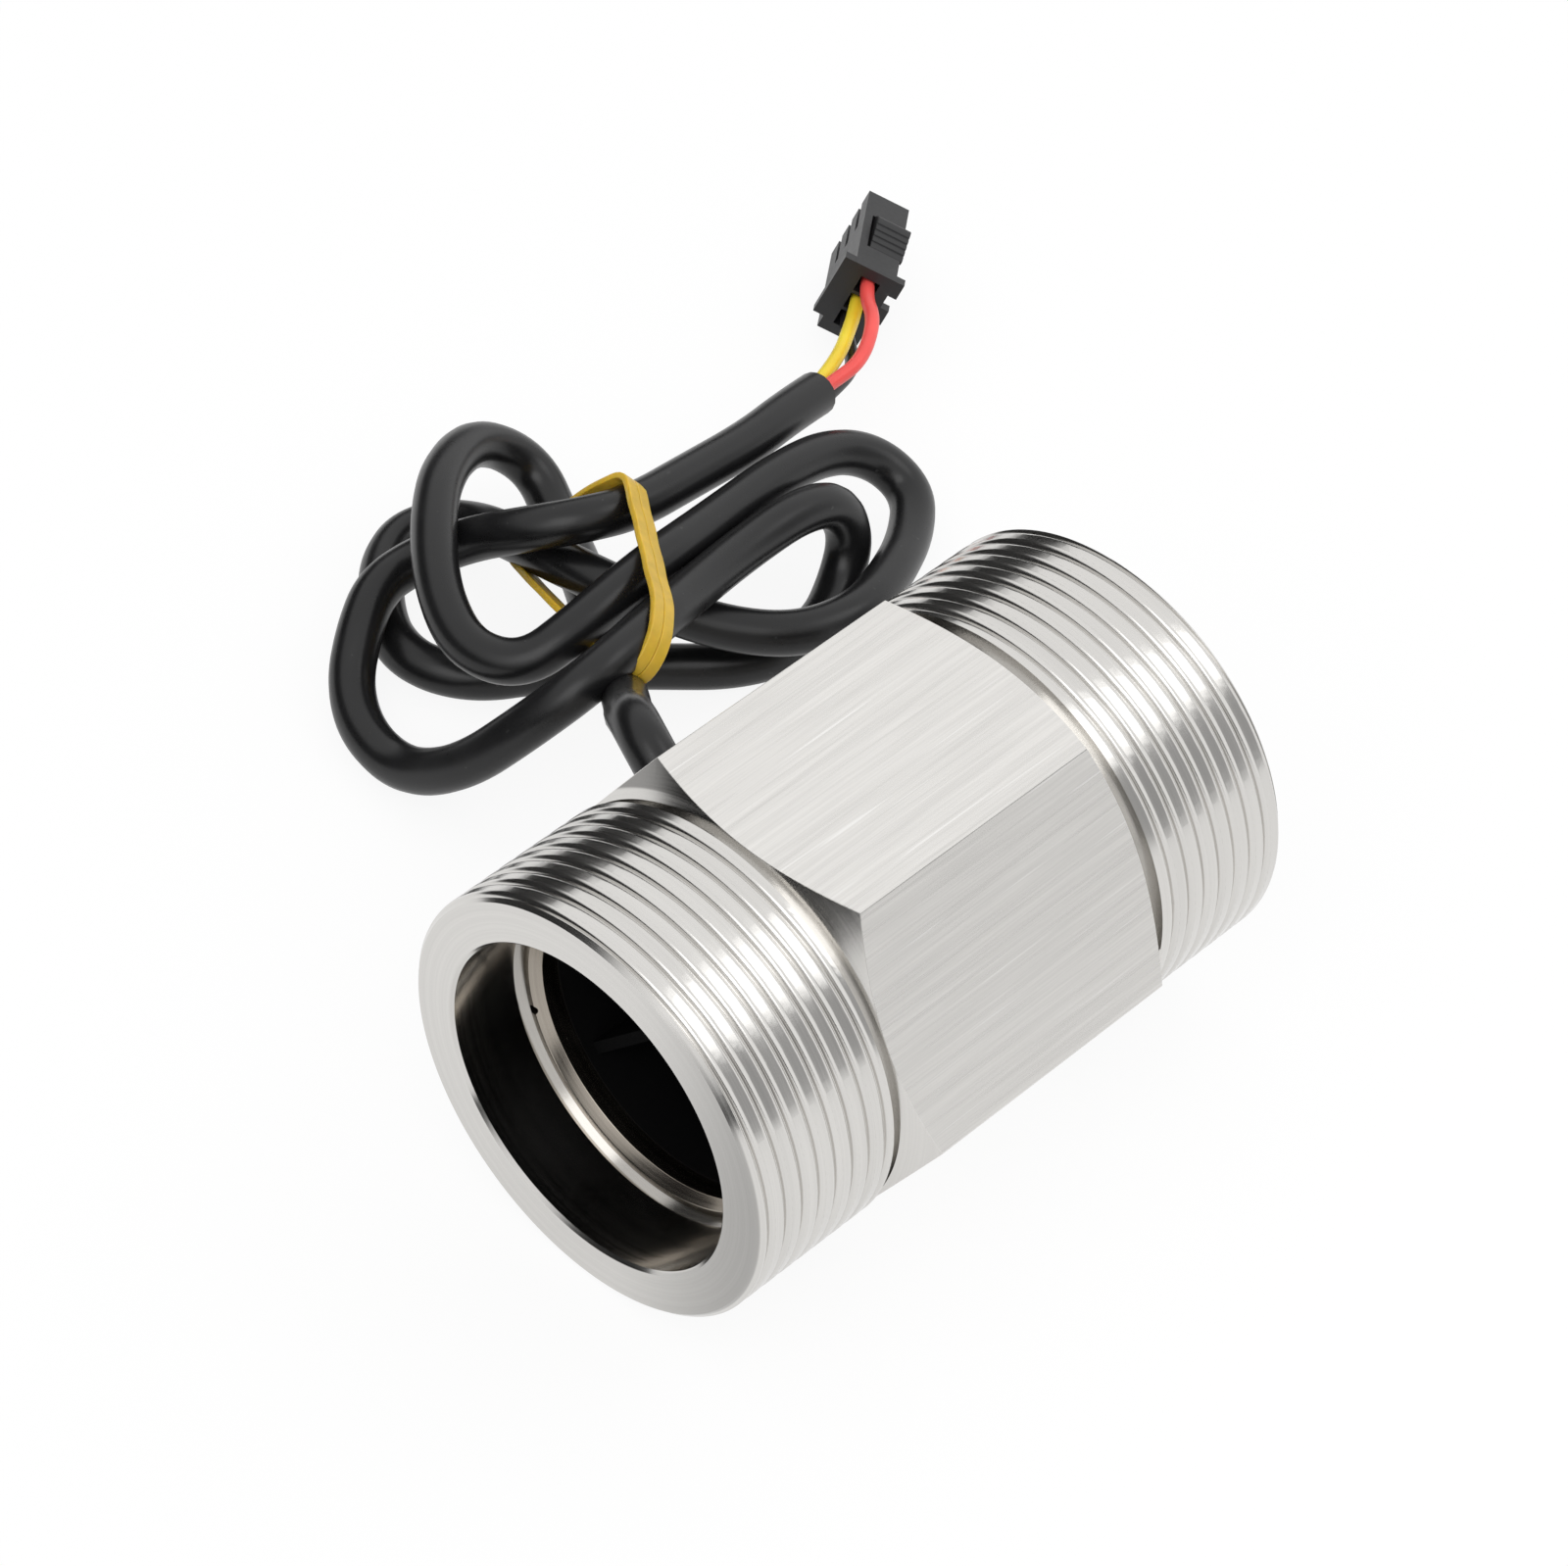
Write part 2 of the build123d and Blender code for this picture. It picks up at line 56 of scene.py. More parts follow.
# How far a cutter or a blank reaches past the finished shape, in millimetres
CLEAR = 1.0

# Steps of the turned, wound and round shapes
TURN_STEPS = 144
CONE_STEPS = 288
HOLLOW_STEPS = 100
THREAD_STEPS = 120
POCKET_STEPS = 64
SPANNER_STEPS = 32
ALONG_BORE = (0, math.pi / 2, 0)

# Turned and milled sizes of the body, in millimetres
BODY_END = 37.75
THREAD_END = 19.45
CREST_R = 23.9
FLAT_R = 23.6
HEX_END = 18.15
HEX_HALF_STEP = math.radians(30)
CONE_SLOPE = math.radians(30)
RELIEF_R = 22.3
LAND_R = 23.5
PORT_CHAMFER = 0.65
MOUTH_R = 18.5
MOUTH_CHAMFER = 0.35
MOUTH_DEPTH = 8.4
GROOVE_R = 19.1
GROOVE_WIDTH = 1.1
CARTRIDGE_R = 17.9
HOLLOW_R = 18.6
NECK_R = 19.2
NECK_END = 17.6
# From the groove's middle: how far along the bore, and how deep under the crests
THREAD_GROOVE = [(0.0, 0.52), (0.045, 0.50), (0.095, 0.42), (0.175, 0.28), (0.275, 0.16),
                 (0.405, 0.07), (0.555, 0.02), (0.70, 0.003)]
THREAD_TURNS = 9
THREAD_START = -39.9
THREAD_CLEAR = 0.6
# The sensor's pocket: half its length and half its width, its depth, its middle and its cutter's height
POCKET_HALF = (8.7, 4.7)
POCKET_DEPTH = 3.6
POCKET_X = -3.1
POCKET_CLEAR = 2.0

# The retaining rings. A broken edge has two sizes, one along the bore and one out from it
RING_THICKNESS = 3.0
RING_FRONT = BODY_END - MOUTH_DEPTH - GROOVE_WIDTH
RING_BACK = RING_FRONT - RING_THICKNESS
RING_SEAT_R = 18.2
RING_PLAY = 0.02
RING_HOLE_R = 16.5
RING_BEVEL = 0.9
RING_FRONT_BREAK = (0.07, 0.12)
RING_HOLE_BREAK = (0.1, 0.05)
SPANNER_R = 0.55
SPANNER_LENGTH = 3.2
SPANNER_TURNS = (-22.0, 158.0)

# The resin: how far it stays from the pocket's floor and wall, and how far above the flat its edge stands
RESIN_FLOOR_GAP = 0.02
RESIN_WALL_GAP = 0.01
RESIN_EDGE = 0.02
# The dome, as insets from its edge and their rises
RESIN_DOME = ((0.25, 0.15), (0.5, 0.12), (0.9, 0.09), (1.2, 0.05))

# The cord's route from the resin to the end of its sheath, in millimetres. F is the height of its
# middle where it lies on the floor
F = -21.3
CORD_ROUTE = [
    (-9, 18.0, 11.0), (-8.6, 20.3, 12.3), (-7.9, 23.1, 13.4), (-5.9, 26.6, 12.2),
    (-1.2, 31.2, 5.4), (5.5, 37.4, -3), (12.3, 44.6, -10.6), (17, 50.1, -14.6),
    (21.3, 56.8, -17.1), (27, 64.5, -19.4), (32.5, 74, F), (35, 81, -18.5),
    (29.5, 84.5, -13.5), (20, 80.5, -9.5), (12, 73.5, -8.5), (6, 66, -9),
    (3.5, 59, -10), (6, 53, -9.5), (12.5, 51.5, -6.5), (23.3, 52.6, -6),
    (36.8, 54.8, -9), (48.8, 56.6, -11), (57.6, 56.9, -13.4), (62.4, 54.2, -15.9),
    (63.3, 49.4, -18.5), (58.2, 45, -18.6), (50.4, 41, -16.7), (42.6, 38.4, -15),
    (35, 40.1, -14.7), (29.1, 46.1, -14.2), (23.9, 53.9, -11.8), (22, 62, -12),
    (22.8, 70.5, -15), (24.2, 77.6, -18.6), (22.8, 82.8, -20.8), (18.6, 84.6, F),
    (13.6, 82.6, F), (9.2, 78.2, F), (6.2, 73, F), (6.2, 67.8, F),
    (9.4, 62.8, F), (15, 59.5, F), (20.5, 55.6, F), (25.6, 50.9, F),
    (31, 46, F), (37, 43.4, F), (43.4, 44.1, F), (48.8, 46.6, -20.6),
    (51.8, 48.2, -16.6), (50.3, 49.6, -11.6), (44.9, 50, -9.4), (36.2, 49.7, -9),
    (26.1, 47.9, -7.4), (15.3, 44.9, -4.3), (5.7, 43.4, -4), (0, 46.5, -9.3),
    (-4.4, 51.2, -16.3), (-6, 58, F), (-5.6, 65, F), (-2.6, 70.5, -20),
    (1.8, 73.8, -17.2), (6.8, 76.4, -15.5), (12.3, 76.3, -15.2), (16.8, 72.9, -12.4),
    (19.2, 66.6, -7.8), (23.6, 62.2, -6), (30, 60.8, -7.2), (39, 61.4, -8.8),
    (49, 62, -10.6), (57.5, 63.5, -12), (62.5, 64.3, -13.25),
]
CORD_RESOLUTION = 10
TUBE_RESOLUTION = 7

# Each bare wire: its points, its angle in degrees round the sheath's middle, and its way in the plug
WIRES = {
    "yellow": ([(69.7, 67.5, -13.9), (74.0, 70.1, -14.5)], 2.0, 0),
    "red": ([(69.5, 64.0, -12.4), (75.2, 67.5, -12.0)], 122.0, 1),
    "black": ([(70.5, 66.0, -15.8), (73.6, 69.2, -17.0)], 242.0, -1),
}
WIRE_LEAD = 2.0
WIRE_DEPTH = 3.0
WIRE_GAP = 0.05
WIRE_HALF_STEP = math.radians(60)
WIRE_RESOLUTION = 12
BLACK_WIRE = (0.013, 0.013, 0.014)

# The plug, from its rear end: X is forward, Y left and Z up
PLUG_ORIGIN = Vector((78.35, 73.04, -15.37))
PLUG_FORWARD = Vector((0.7816, 0.5929, -0.1938)).normalized()
PLUG_TILT = Vector((0.3655, -0.1834, 0.9126))
PLUG_UP = (PLUG_TILT - PLUG_FORWARD * PLUG_FORWARD.dot(PLUG_TILT)).normalized()
PLUG_LEFT = PLUG_UP.cross(PLUG_FORWARD)
PLUG_LENGTH = 16.4
PLUG_HALF_WIDTH = 2.575
PLUG_HALF_HEIGHT = 4.85
PLUG_START = 0.2
FLANGE_END = 1.3
FLANGE_PROUD = 0.01
# The tabs beside the flange, each from its lowest to its highest Y and Z
TAB_END = 1.29
TABS = (
    ((0, 3.9), (-3.3, PLUG_HALF_HEIGHT)),
    ((-3.65, 0), (2.75, PLUG_HALF_HEIGHT)),
    ((-3.65, 0), (-1.15, 0.95)),
)
# What is cut into the plug: half widths and half heights, and depths from its front
SHROUD_DEPTH = 7.5
SHROUD_HALF = (1.775, 3.6)
CONTACT_PITCH = 2.5
WAY_STOP = 5.0
WAY_HALF = (1.2, 1.05)
SLOT_LENGTH = 5.3
SLOT_HALF = 0.4
# The latch's recess, from its rear to its front
RECESS = (4.6, 11.5)
RECESS_LEFT = 1.62
RECESS_DEPTH = 1.0

# The latch lever, a wedge that rises from its rear to its ridge, with grooves across it
LATCH_REAR = 4.7
LATCH_FRONT = 11.4
LATCH_RIDGE = LATCH_REAR + (LATCH_FRONT - LATCH_REAR) * 0.68
LATCH_TOP = 4.85
LATCH_UNDER = 4.35
LATCH_RISE = 1.35
LATCH_LEFT = 1.27
LATCH_WIDTH = 4.145
LATCH_GROOVE = ((-0.17, -0.05), (-0.13, -0.24), (0.13, -0.16), (0.17, 0.05))
LATCH_NOSE = (0.35, -0.05)
LATCH_LIP = 0.2
LATCH_BREAK = 0.05

# The band's plane: a point in it, the direction across it and those along it and up
BAND_MIDDLE = Vector((21.14, 54.2, -6.39))
BAND_ACROSS = Vector((0.56, -0.495, -0.664)).normalized()
BAND_ALONG = BAND_ACROSS.cross(Vector((0, 0, 1))).normalized()
BAND_RISE = BAND_ALONG.cross(BAND_ACROSS)
# How far from that point the held strands lie, and the least slant that widens a strand's section
BAND_REACH = 15.5
BAND_SLANT = 0.3
BAND_GAP = 0.12
BAND_HALF_GROOVE = 0.03
BAND_BREAK = 0.13
# The strands' sway to the side: its width in millimetres, and its radians per millimetre of height or length
BAND_SWAY_UP = (0.14, 0.7)
BAND_SWAY_ALONG = (0.06, 1.1)
ROUND_POINTS = 48
BAND_POINTS = 160

# The camera's axes and its place, in metres
CAMERA_RIGHT = Vector((0.69619365, -0.71440716, 0.07026249))
CAMERA_BACK = Vector((-0.52461668, -0.43953424, 0.72910012))
CAMERA_PLACE = Vector((-0.31473, -0.25288, 0.44807))
CAMERA_CLIP = (0.01, 20.0)
SENSOR_WIDTH = 36.0

# The square lamps: place and width in metres, and power in watts
LAMPS = {
    "key_lamp": ((0.63, -0.49, 0.90), 0.55, 1.08),
    "fill_lamp": ((-0.70, -0.35, 1.0), 0.8, 3.0),
}

# The floor, and how much of it glows for the camera, for mirrors and for clear pieces
FLOOR_SIZE = 8.0
GLOW_SEEN = 0.9
GLOW_MIRRORED = 0.62
GLOW_CLEAR = 0.72
# A painted dark reflection: behind the object the floor turns black for mirrors only; where it starts and
# where it is full
DARK_REFLECTION_REACH = (0.21, 0.30)
DARK_REFLECTION_BLACK = (0.01, 0.01, 0.01, 1.0)
WHITE = (1, 1, 1, 1)

# Patches of the surroundings: their direction, and the cosines where they are full and where they end
OVERHEAD_PATCH = ((0.25, -0.35, 0.90), 0.21, 0.09)
FRONT_PATCH = ((0.45, -0.89, -0.02), 0.94, 0.74)
GREY_PATCH = ((0.50, -0.78, 0.38), 0.97, 0.88)
OVERHEAD_GLOW = 1.02
FRONT_GLOW = 0.7
GREY_SHADE = 0.6
DIM_GLOW = 0.03


class SteelBodySizes(bpy.types.PropertyGroup):
    thread_diameter: FloatProperty(
        name="Thread diameter", description="Across the pipe thread's crests",
        default=2 * CREST_R * MM, unit="LENGTH")
    thread_pitch: FloatProperty(
        name="Thread pitch", description="From one crest to the next",
        default=2.309 * MM, unit="LENGTH")
    across_flats: FloatProperty(
        name="Across flats", description="Between two opposite flats of the hexagon",
        default=2 * FLAT_R * MM, unit="LENGTH")
    edge_width: FloatProperty(
        name="Edge width", description="Width of the broken edges round the hexagon",
        default=0.14 * MM, unit="LENGTH")
    steel_colour: FloatVectorProperty(
        name="Steel", description="Colour of the bare steel", subtype="COLOR",
        default=(0.74, 0.725, 0.70))


class CordSizes(bpy.types.PropertyGroup):
    cord_diameter: FloatProperty(
        name="Sheath diameter", description="Diameter of the black sheath",
        default=5.1 * MM, unit="LENGTH")
    wire_diameter: FloatProperty(
        name="Wire diameter", description="Diameter of a bare wire",
        default=1.65 * MM, unit="LENGTH")
    sheath_colour: FloatVectorProperty(
        name="Sheath", description="Colour of the sheath", subtype="COLOR",
        default=(0.008, 0.008, 0.0085))
    yellow_colour: FloatVectorProperty(
        name="Yellow wire", description="Colour of the yellow wire", subtype="COLOR",
        default=(0.97, 0.66, 0.035))
    red_colour: FloatVectorProperty(
        name="Red wire", description="Colour of the red wire", subtype="COLOR",
        default=(0.93, 0.085, 0.075))


class BandSizes(bpy.types.PropertyGroup):
    strand_width: FloatProperty(
        name="Strand width", description="Width of one of the band's two strands",
        default=1.45 * MM, unit="LENGTH")
    strand_thickness: FloatProperty(
        name="Strand thickness", description="Thickness of the stretched rubber",
        default=0.75 * MM, unit="LENGTH")
    band_colour: FloatVectorProperty(
        name="Rubber band", description="Colour of the rubber", subtype="COLOR",
        default=(0.70, 0.455, 0.04))


class PlugSizes(bpy.types.PropertyGroup):
    edge_round: FloatProperty(
        name="Edge round", description="Radius of the moulded edges",
        default=0.14 * MM, unit="LENGTH")
    plug_colour: FloatVectorProperty(
        name="Plug", description="Colour of the moulded plug", subtype="COLOR",
        default=(0.014, 0.014, 0.015))
    rib_count: IntProperty(
        name="Latch ribs", description="Grooves across the latch's thumb pad",
        default=4, min=1, max=8)


class StageSettings(bpy.types.PropertyGroup):
    floor_colour: FloatVectorProperty(
        name="Floor", description="Colour of the pale floor", subtype="COLOR",
        default=(0.94, 0.94, 0.94))
    lens: FloatProperty(
        name="Lens", description="Focal length on a sensor 36 mm wide, in millimetres",
        default=138.61)


class Value:
    """A shader socket whose Python operators add Math nodes."""

    def __init__(self, shader, socket):
        self.shader = shader
        self.socket = socket

    def math(self, operation, *others):
        inputs = dict(enumerate((self, *others)))
        node = self.shader.add("ShaderNodeMath", {"operation": operation}, inputs)
        return Value(self.shader, node.outputs[0])

    def swing(self, width):
        """A noise's rise and fall about zero."""
        return (self - 0.5) * width

    def clamp(self):
        return Value(self.shader, self.shader.add("ShaderNodeClamp", {}, {0: self}).outputs[0])

    def __add__(self, other):
        return self.math("ADD", other)

    __radd__ = __add__

    def __sub__(self, other):
        return self.math("SUBTRACT", other)

    def __rsub__(self, other):
        return (self * -1) + other

    def __mul__(self, other):
        return self.math("MULTIPLY", other)

    __rmul__ = __mul__


class Shader:
    """One node tree, a new material's or the world's."""

    def __init__(self, name, tree=None):
        if tree is None:
            self.material = bpy.data.materials.new(name)
            self.material.use_nodes = True
            tree = self.material.node_tree
        self.tree = tree
        self.tree.nodes.clear()

    def add(self, kind, settings=None, inputs=None):
        """A node with its settings first and then its sockets' values or links."""
        node = self.tree.nodes.new(kind)
        for key, value in (settings or {}).items():
            setattr(node, key, value)
        for key, value in (inputs or {}).items():
            if isinstance(value, Value):
                value = value.socket
            if isinstance(value, bpy.types.NodeSocket):
                self.tree.links.new(value, node.inputs[key])
            else:
                node.inputs[key].default_value = value
        return node

    def place(self):
        """Object coordinates as a vector socket."""
        return self.add("ShaderNodeTexCoord").outputs["Object"]

    def axes(self, vector):
        """The three parts of a vector as values."""
        node = self.add("ShaderNodeSeparateXYZ", {}, {0: vector})
        return [Value(self, s) for s in node.outputs]

    def vector(self, x, y, z):
        return self.add("ShaderNodeCombineXYZ", {}, {0: x, 1: y, 2: z}).outputs[0]

    def stretched(self, vector, scale):
        return self.add("ShaderNodeMapping", {}, {"Vector": vector, "Scale": scale}).outputs[0]

    def noise(self, vector, scale, detail, roughness):
        node = self.add("ShaderNodeTexNoise", {}, {
            "Vector": vector, "Scale": scale, "Detail": detail, "Roughness": roughness})
        return Value(self, node.outputs[0])

    def step(self, value, low, high):
        """0 below low, 1 above high, and a smooth rise between."""
        node = self.add("ShaderNodeMapRange", {"interpolation_type": "SMOOTHSTEP"}, {
            "Value": value, "From Min": low, "From Max": high})
        return Value(self, node.outputs[0])

    def mix(self, share, first, second):
        """A blend of two colours."""
        first, second = (c if isinstance(c, bpy.types.NodeSocket) else (*c, 1.0) for c in (first, second))
        return self.add("ShaderNodeMix", {"data_type": "RGBA"}, {0: share, 6: first, 7: second}).outputs[2]

    def blend(self, share, first, second):
        """A blend of two surfaces."""
        return self.add("ShaderNodeMixShader", {}, {0: share, 1: first.outputs[0], 2: second.outputs[0]})

    def bump(self, height, distance, strength):
        inputs = {"Height": height, "Distance": distance, "Strength": strength}
        return self.add("ShaderNodeBump", {}, inputs).outputs[0]

    def finish(self, **inputs):
        """The Principled surface; names have spaces where the keys have underscores."""
        sockets = {k.replace("_", " ").title().replace("Ior", "IOR"): v for k, v in inputs.items()}
        surface = self.add("ShaderNodeBsdfPrincipled", {}, sockets)
        self.add("ShaderNodeOutputMaterial", {}, {"Surface": surface.outputs[0]})
        return self.material


def off_axis(y, z):
    """How far a place lies from the bore's axis."""
    return (y * y + z * z).math("SQRT")


def shade(colour, factor):
    return tuple(min(1.0, c * factor) for c in colour)


def deselect():
    bpy.ops.object.select_all(action="DESELECT")


def pick(obj):
    """Make one object the only selected and active one."""
    deselect()
    obj.hide_viewport = False
    obj.select_set(True)
    bpy.context.view_layer.objects.active = obj


def edit(obj):
    pick(obj)
    bpy.ops.object.mode_set(mode="EDIT")


def close_edit():
    bpy.ops.object.mode_set(mode="OBJECT")


def named(name):
    """Name the object that a primitive operator has just made."""
    obj = bpy.context.object
    obj.name = name
    obj.data.name = name
    return obj


def clean_shell():
    """In edit mode: merge what lies together and turn the faces outwards."""
    bpy.ops.mesh.select_all(action="SELECT")
    bpy.ops.mesh.remove_doubles(threshold=MERGE)
    bpy.ops.mesh.normals_make_consistent(inside=False)


def draw_line(name, points, closed=False):
    """A line of vertices in metres, extruded from point to point; edit mode stays on."""
    deselect()
    bpy.ops.mesh.primitive_plane_add(size=MM)
    obj = named(name)
    edit(obj)
    bpy.ops.mesh.select_mode(type="VERT")
    bpy.ops.mesh.select_all(action="SELECT")
    bpy.ops.mesh.merge(type="CENTER")
    last = Vector(points[0])
    bpy.ops.transform.translate(value=last)
    for point in points[1:] + (points[:1] if closed else []):
        step = Vector(point) - last
        bpy.ops.mesh.extrude_region_move(TRANSFORM_OT_translate={"value": step})
        last = Vector(point)
    bpy.ops.mesh.select_all(action="SELECT")
    bpy.ops.mesh.remove_doubles(threshold=MERGE)
    return obj


def lathe(name, outline, closed=False, steps=TURN_STEPS):
    """A shape turned about the bore's axis from (x, radius) points in millimetres."""
    obj = draw_line(name, [(x * MM, r * MM, 0.0) for x, r in outline], closed)
    bpy.ops.mesh.select_all(action="SELECT")
    bpy.ops.mesh.spin(steps=steps, angle=2 * math.pi, center=(0, 0, 0), axis=(1, 0, 0))
    clean_shell()
    close_edit()
    return obj


def prism(name, outline, along):
    """A closed outline in metres, filled and extruded."""
    obj = draw_line(name, outline, closed=True)
    bpy.ops.mesh.edge_face_add()
    bpy.ops.mesh.extrude_region_move(TRANSFORM_OT_translate={"value": Vector(along)})
    clean_shell()
    close_edit()
    return obj


def both_ends(half):
    return half + [(-x, r) for x, r in reversed(half)]


def combine(obj, tool, operation):
    """Join, cut or keep what is common with a tool, which is then removed."""
    change = obj.modifiers.new(operation.title(), "BOOLEAN")
    change.operation = operation
    change.object = tool
    change.solver = "EXACT"
    pick(obj)
    bpy.ops.object.modifier_apply(modifier=change.name)
    bpy.data.objects.remove(tool)
    if not obj.data.polygons:
        raise RuntimeError(f"{obj.name} is empty after {operation}")
    return obj


def apply_modifier(obj, kind, **settings):
    change = obj.modifiers.new(kind.title(), kind)
    for key, value in settings.items():
        setattr(change, key, value)
    pick(obj)
    bpy.ops.object.modifier_apply(modifier=change.name)
    return obj


def break_edges(obj, width, segments, angle):
    """Bevel the edges sharper than an angle."""
    return apply_modifier(
        obj, "BEVEL", width=width, segments=segments, limit_method="ANGLE",
        angle_limit=math.radians(angle), use_clamp_overlap=True, miter_outer="MITER_ARC")


def move_mesh(obj, matrix):
    """Place the mesh itself, with the object kept at the origin."""
    obj.matrix_world = matrix @ obj.matrix_world
    pick(obj)
    bpy.ops.object.transform_apply(location=True, rotation=True, scale=True)
    return obj


def half_turn(obj):
    """Turn a piece of the inlet's end over to the outlet's end."""
    return move_mesh(obj, Matrix.Rotation(math.pi, 4, "Z"))


def copy_of(obj, name):
    twin = obj.copy()
    twin.data = obj.data.copy()
    twin.name = twin.data.name = name
    bpy.context.scene.collection.objects.link(twin)
    return twin


def block(name, low, high):
    """A box from its lowest to its highest corner, in millimetres."""
    deselect()
    middle = [(a + b) / 2 * MM for a, b in zip(low, high)]
    size = [(b - a) * MM for a, b in zip(low, high)]
    bpy.ops.mesh.primitive_cube_add(size=1.0, location=middle, scale=size)
    obj = named(name)
    bpy.ops.object.transform_apply(location=True, rotation=True, scale=True)
    return obj


def add_block(obj, low, high):
    return combine(obj, block("added", low, high), "UNION")


def cut_block(obj, low, high):
    return combine(obj, block("cutter", low, high), "DIFFERENCE")


def cylinder(name, steps, radius, depth, rotation, location=(0, 0, 0)):
    """A cylinder in metres, with its place in its mesh."""
    deselect()
    bpy.ops.mesh.primitive_cylinder_add(
        vertices=steps, radius=radius, depth=depth, location=location, rotation=rotation)
    obj = named(name)
    bpy.ops.object.transform_apply(location=True, rotation=True, scale=True)
    return obj


def smooth(obj, angle=30.0):
    """Smooth shading on curved faces, with flat faces kept flat."""
    pick(obj)
    bpy.ops.object.shade_smooth_by_angle(angle=math.radians(angle))
    return apply_modifier(obj, "WEIGHTED_NORMAL", weight=100, keep_sharp=True)


def keep(obj, material, body, nodes):
    """Dress a finished piece and tie it to its body and its CAD nodes."""
    obj.data.materials.clear()
    obj.data.materials.append(material)
    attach(obj, body)
    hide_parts(*nodes)
    return obj


def dress(material, *nodes):
    """Give CAD nodes a material of the scene's own."""
    for node in nodes:
        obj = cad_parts[node]
        obj.data.materials.clear()
        obj.data.materials.append(material)


def place_with(x, y, z, origin):
    """The matrix of a place with these axes."""
    return Matrix((
        (x.x, y.x, z.x, origin.x), (x.y, y.y, z.y, origin.y),
        (x.z, y.z, z.z, origin.z), (0, 0, 0, 1)))


def pocket_place():
    """The sensor's flat: X along the bore, Z out of the flat, at the pocket's middle."""
    out = Vector((0, math.cos(HEX_HALF_STEP), math.sin(HEX_HALF_STEP)))
    side = Vector((1, 0, 0))
    return place_with(side, out.cross(side), out, out * FLAT_R * MM + side * POCKET_X * MM)


def plug_place():
    """The plug's own axes, in metres."""
    return place_with(PLUG_FORWARD, PLUG_LEFT, PLUG_UP, PLUG_ORIGIN * MM)


def stadium(name, depth, height, shrink=0.0):
    """The pocket's round-ended slot as a solid, from depth below the flat up to height."""
    half_length, half_width = POCKET_HALF
    obj = cylinder(name, POCKET_STEPS, (half_width - shrink) * MM, (depth + height) * MM,
                   (0, 0, math.pi / POCKET_STEPS), (0, 0, (height - depth) / 2 * MM))
    for side in (1, -1):
        edit(obj)
        bpy.ops.mesh.select_all(action="DESELECT")
        close_edit()
        for vertex in obj.data.vertices:
            vertex.select = vertex.co.x * side > 0
        edit(obj)
        bpy.ops.transform.translate(value=(side * (half_length - half_width) * MM, 0, 0))
        close_edit()
    return obj


def smooth_curve(name, points, diameter, resolution):
    """An open NURBS tube with these control points, in millimetres."""
    data = bpy.data.curves.new(name, "CURVE")
    data.dimensions = "3D"
    line = data.splines.new("NURBS")
    line.points.add(len(points) - 1)
    for place, point in zip(line.points, points):
        place.co = (point[0] * MM, point[1] * MM, point[2] * MM, 1.0)
    line.order_u = 3
    line.use_endpoint_u = True
    data.resolution_u = resolution
    data.bevel_depth = diameter / 2
    data.bevel_resolution = TUBE_RESOLUTION
    data.use_fill_caps = True
    obj = bpy.data.objects.new(name, data)
    bpy.context.scene.collection.objects.link(obj)
    return obj


def line_of(curve):
    """The points along a curve's spline, read with its bevel off."""
    copy = curve.copy()
    copy.data = curve.data.copy()
    copy.data.bevel_depth = 0
    bpy.context.scene.collection.objects.link(copy)
    bpy.context.view_layer.update()
    mesh = bpy.data.meshes.new_from_object(copy)
    points = [v.co.copy() for v in mesh.vertices]
    bpy.data.objects.remove(copy)
    return points


def length_of(points):
    return sum((b - a).length for a, b in zip(points, points[1:]))


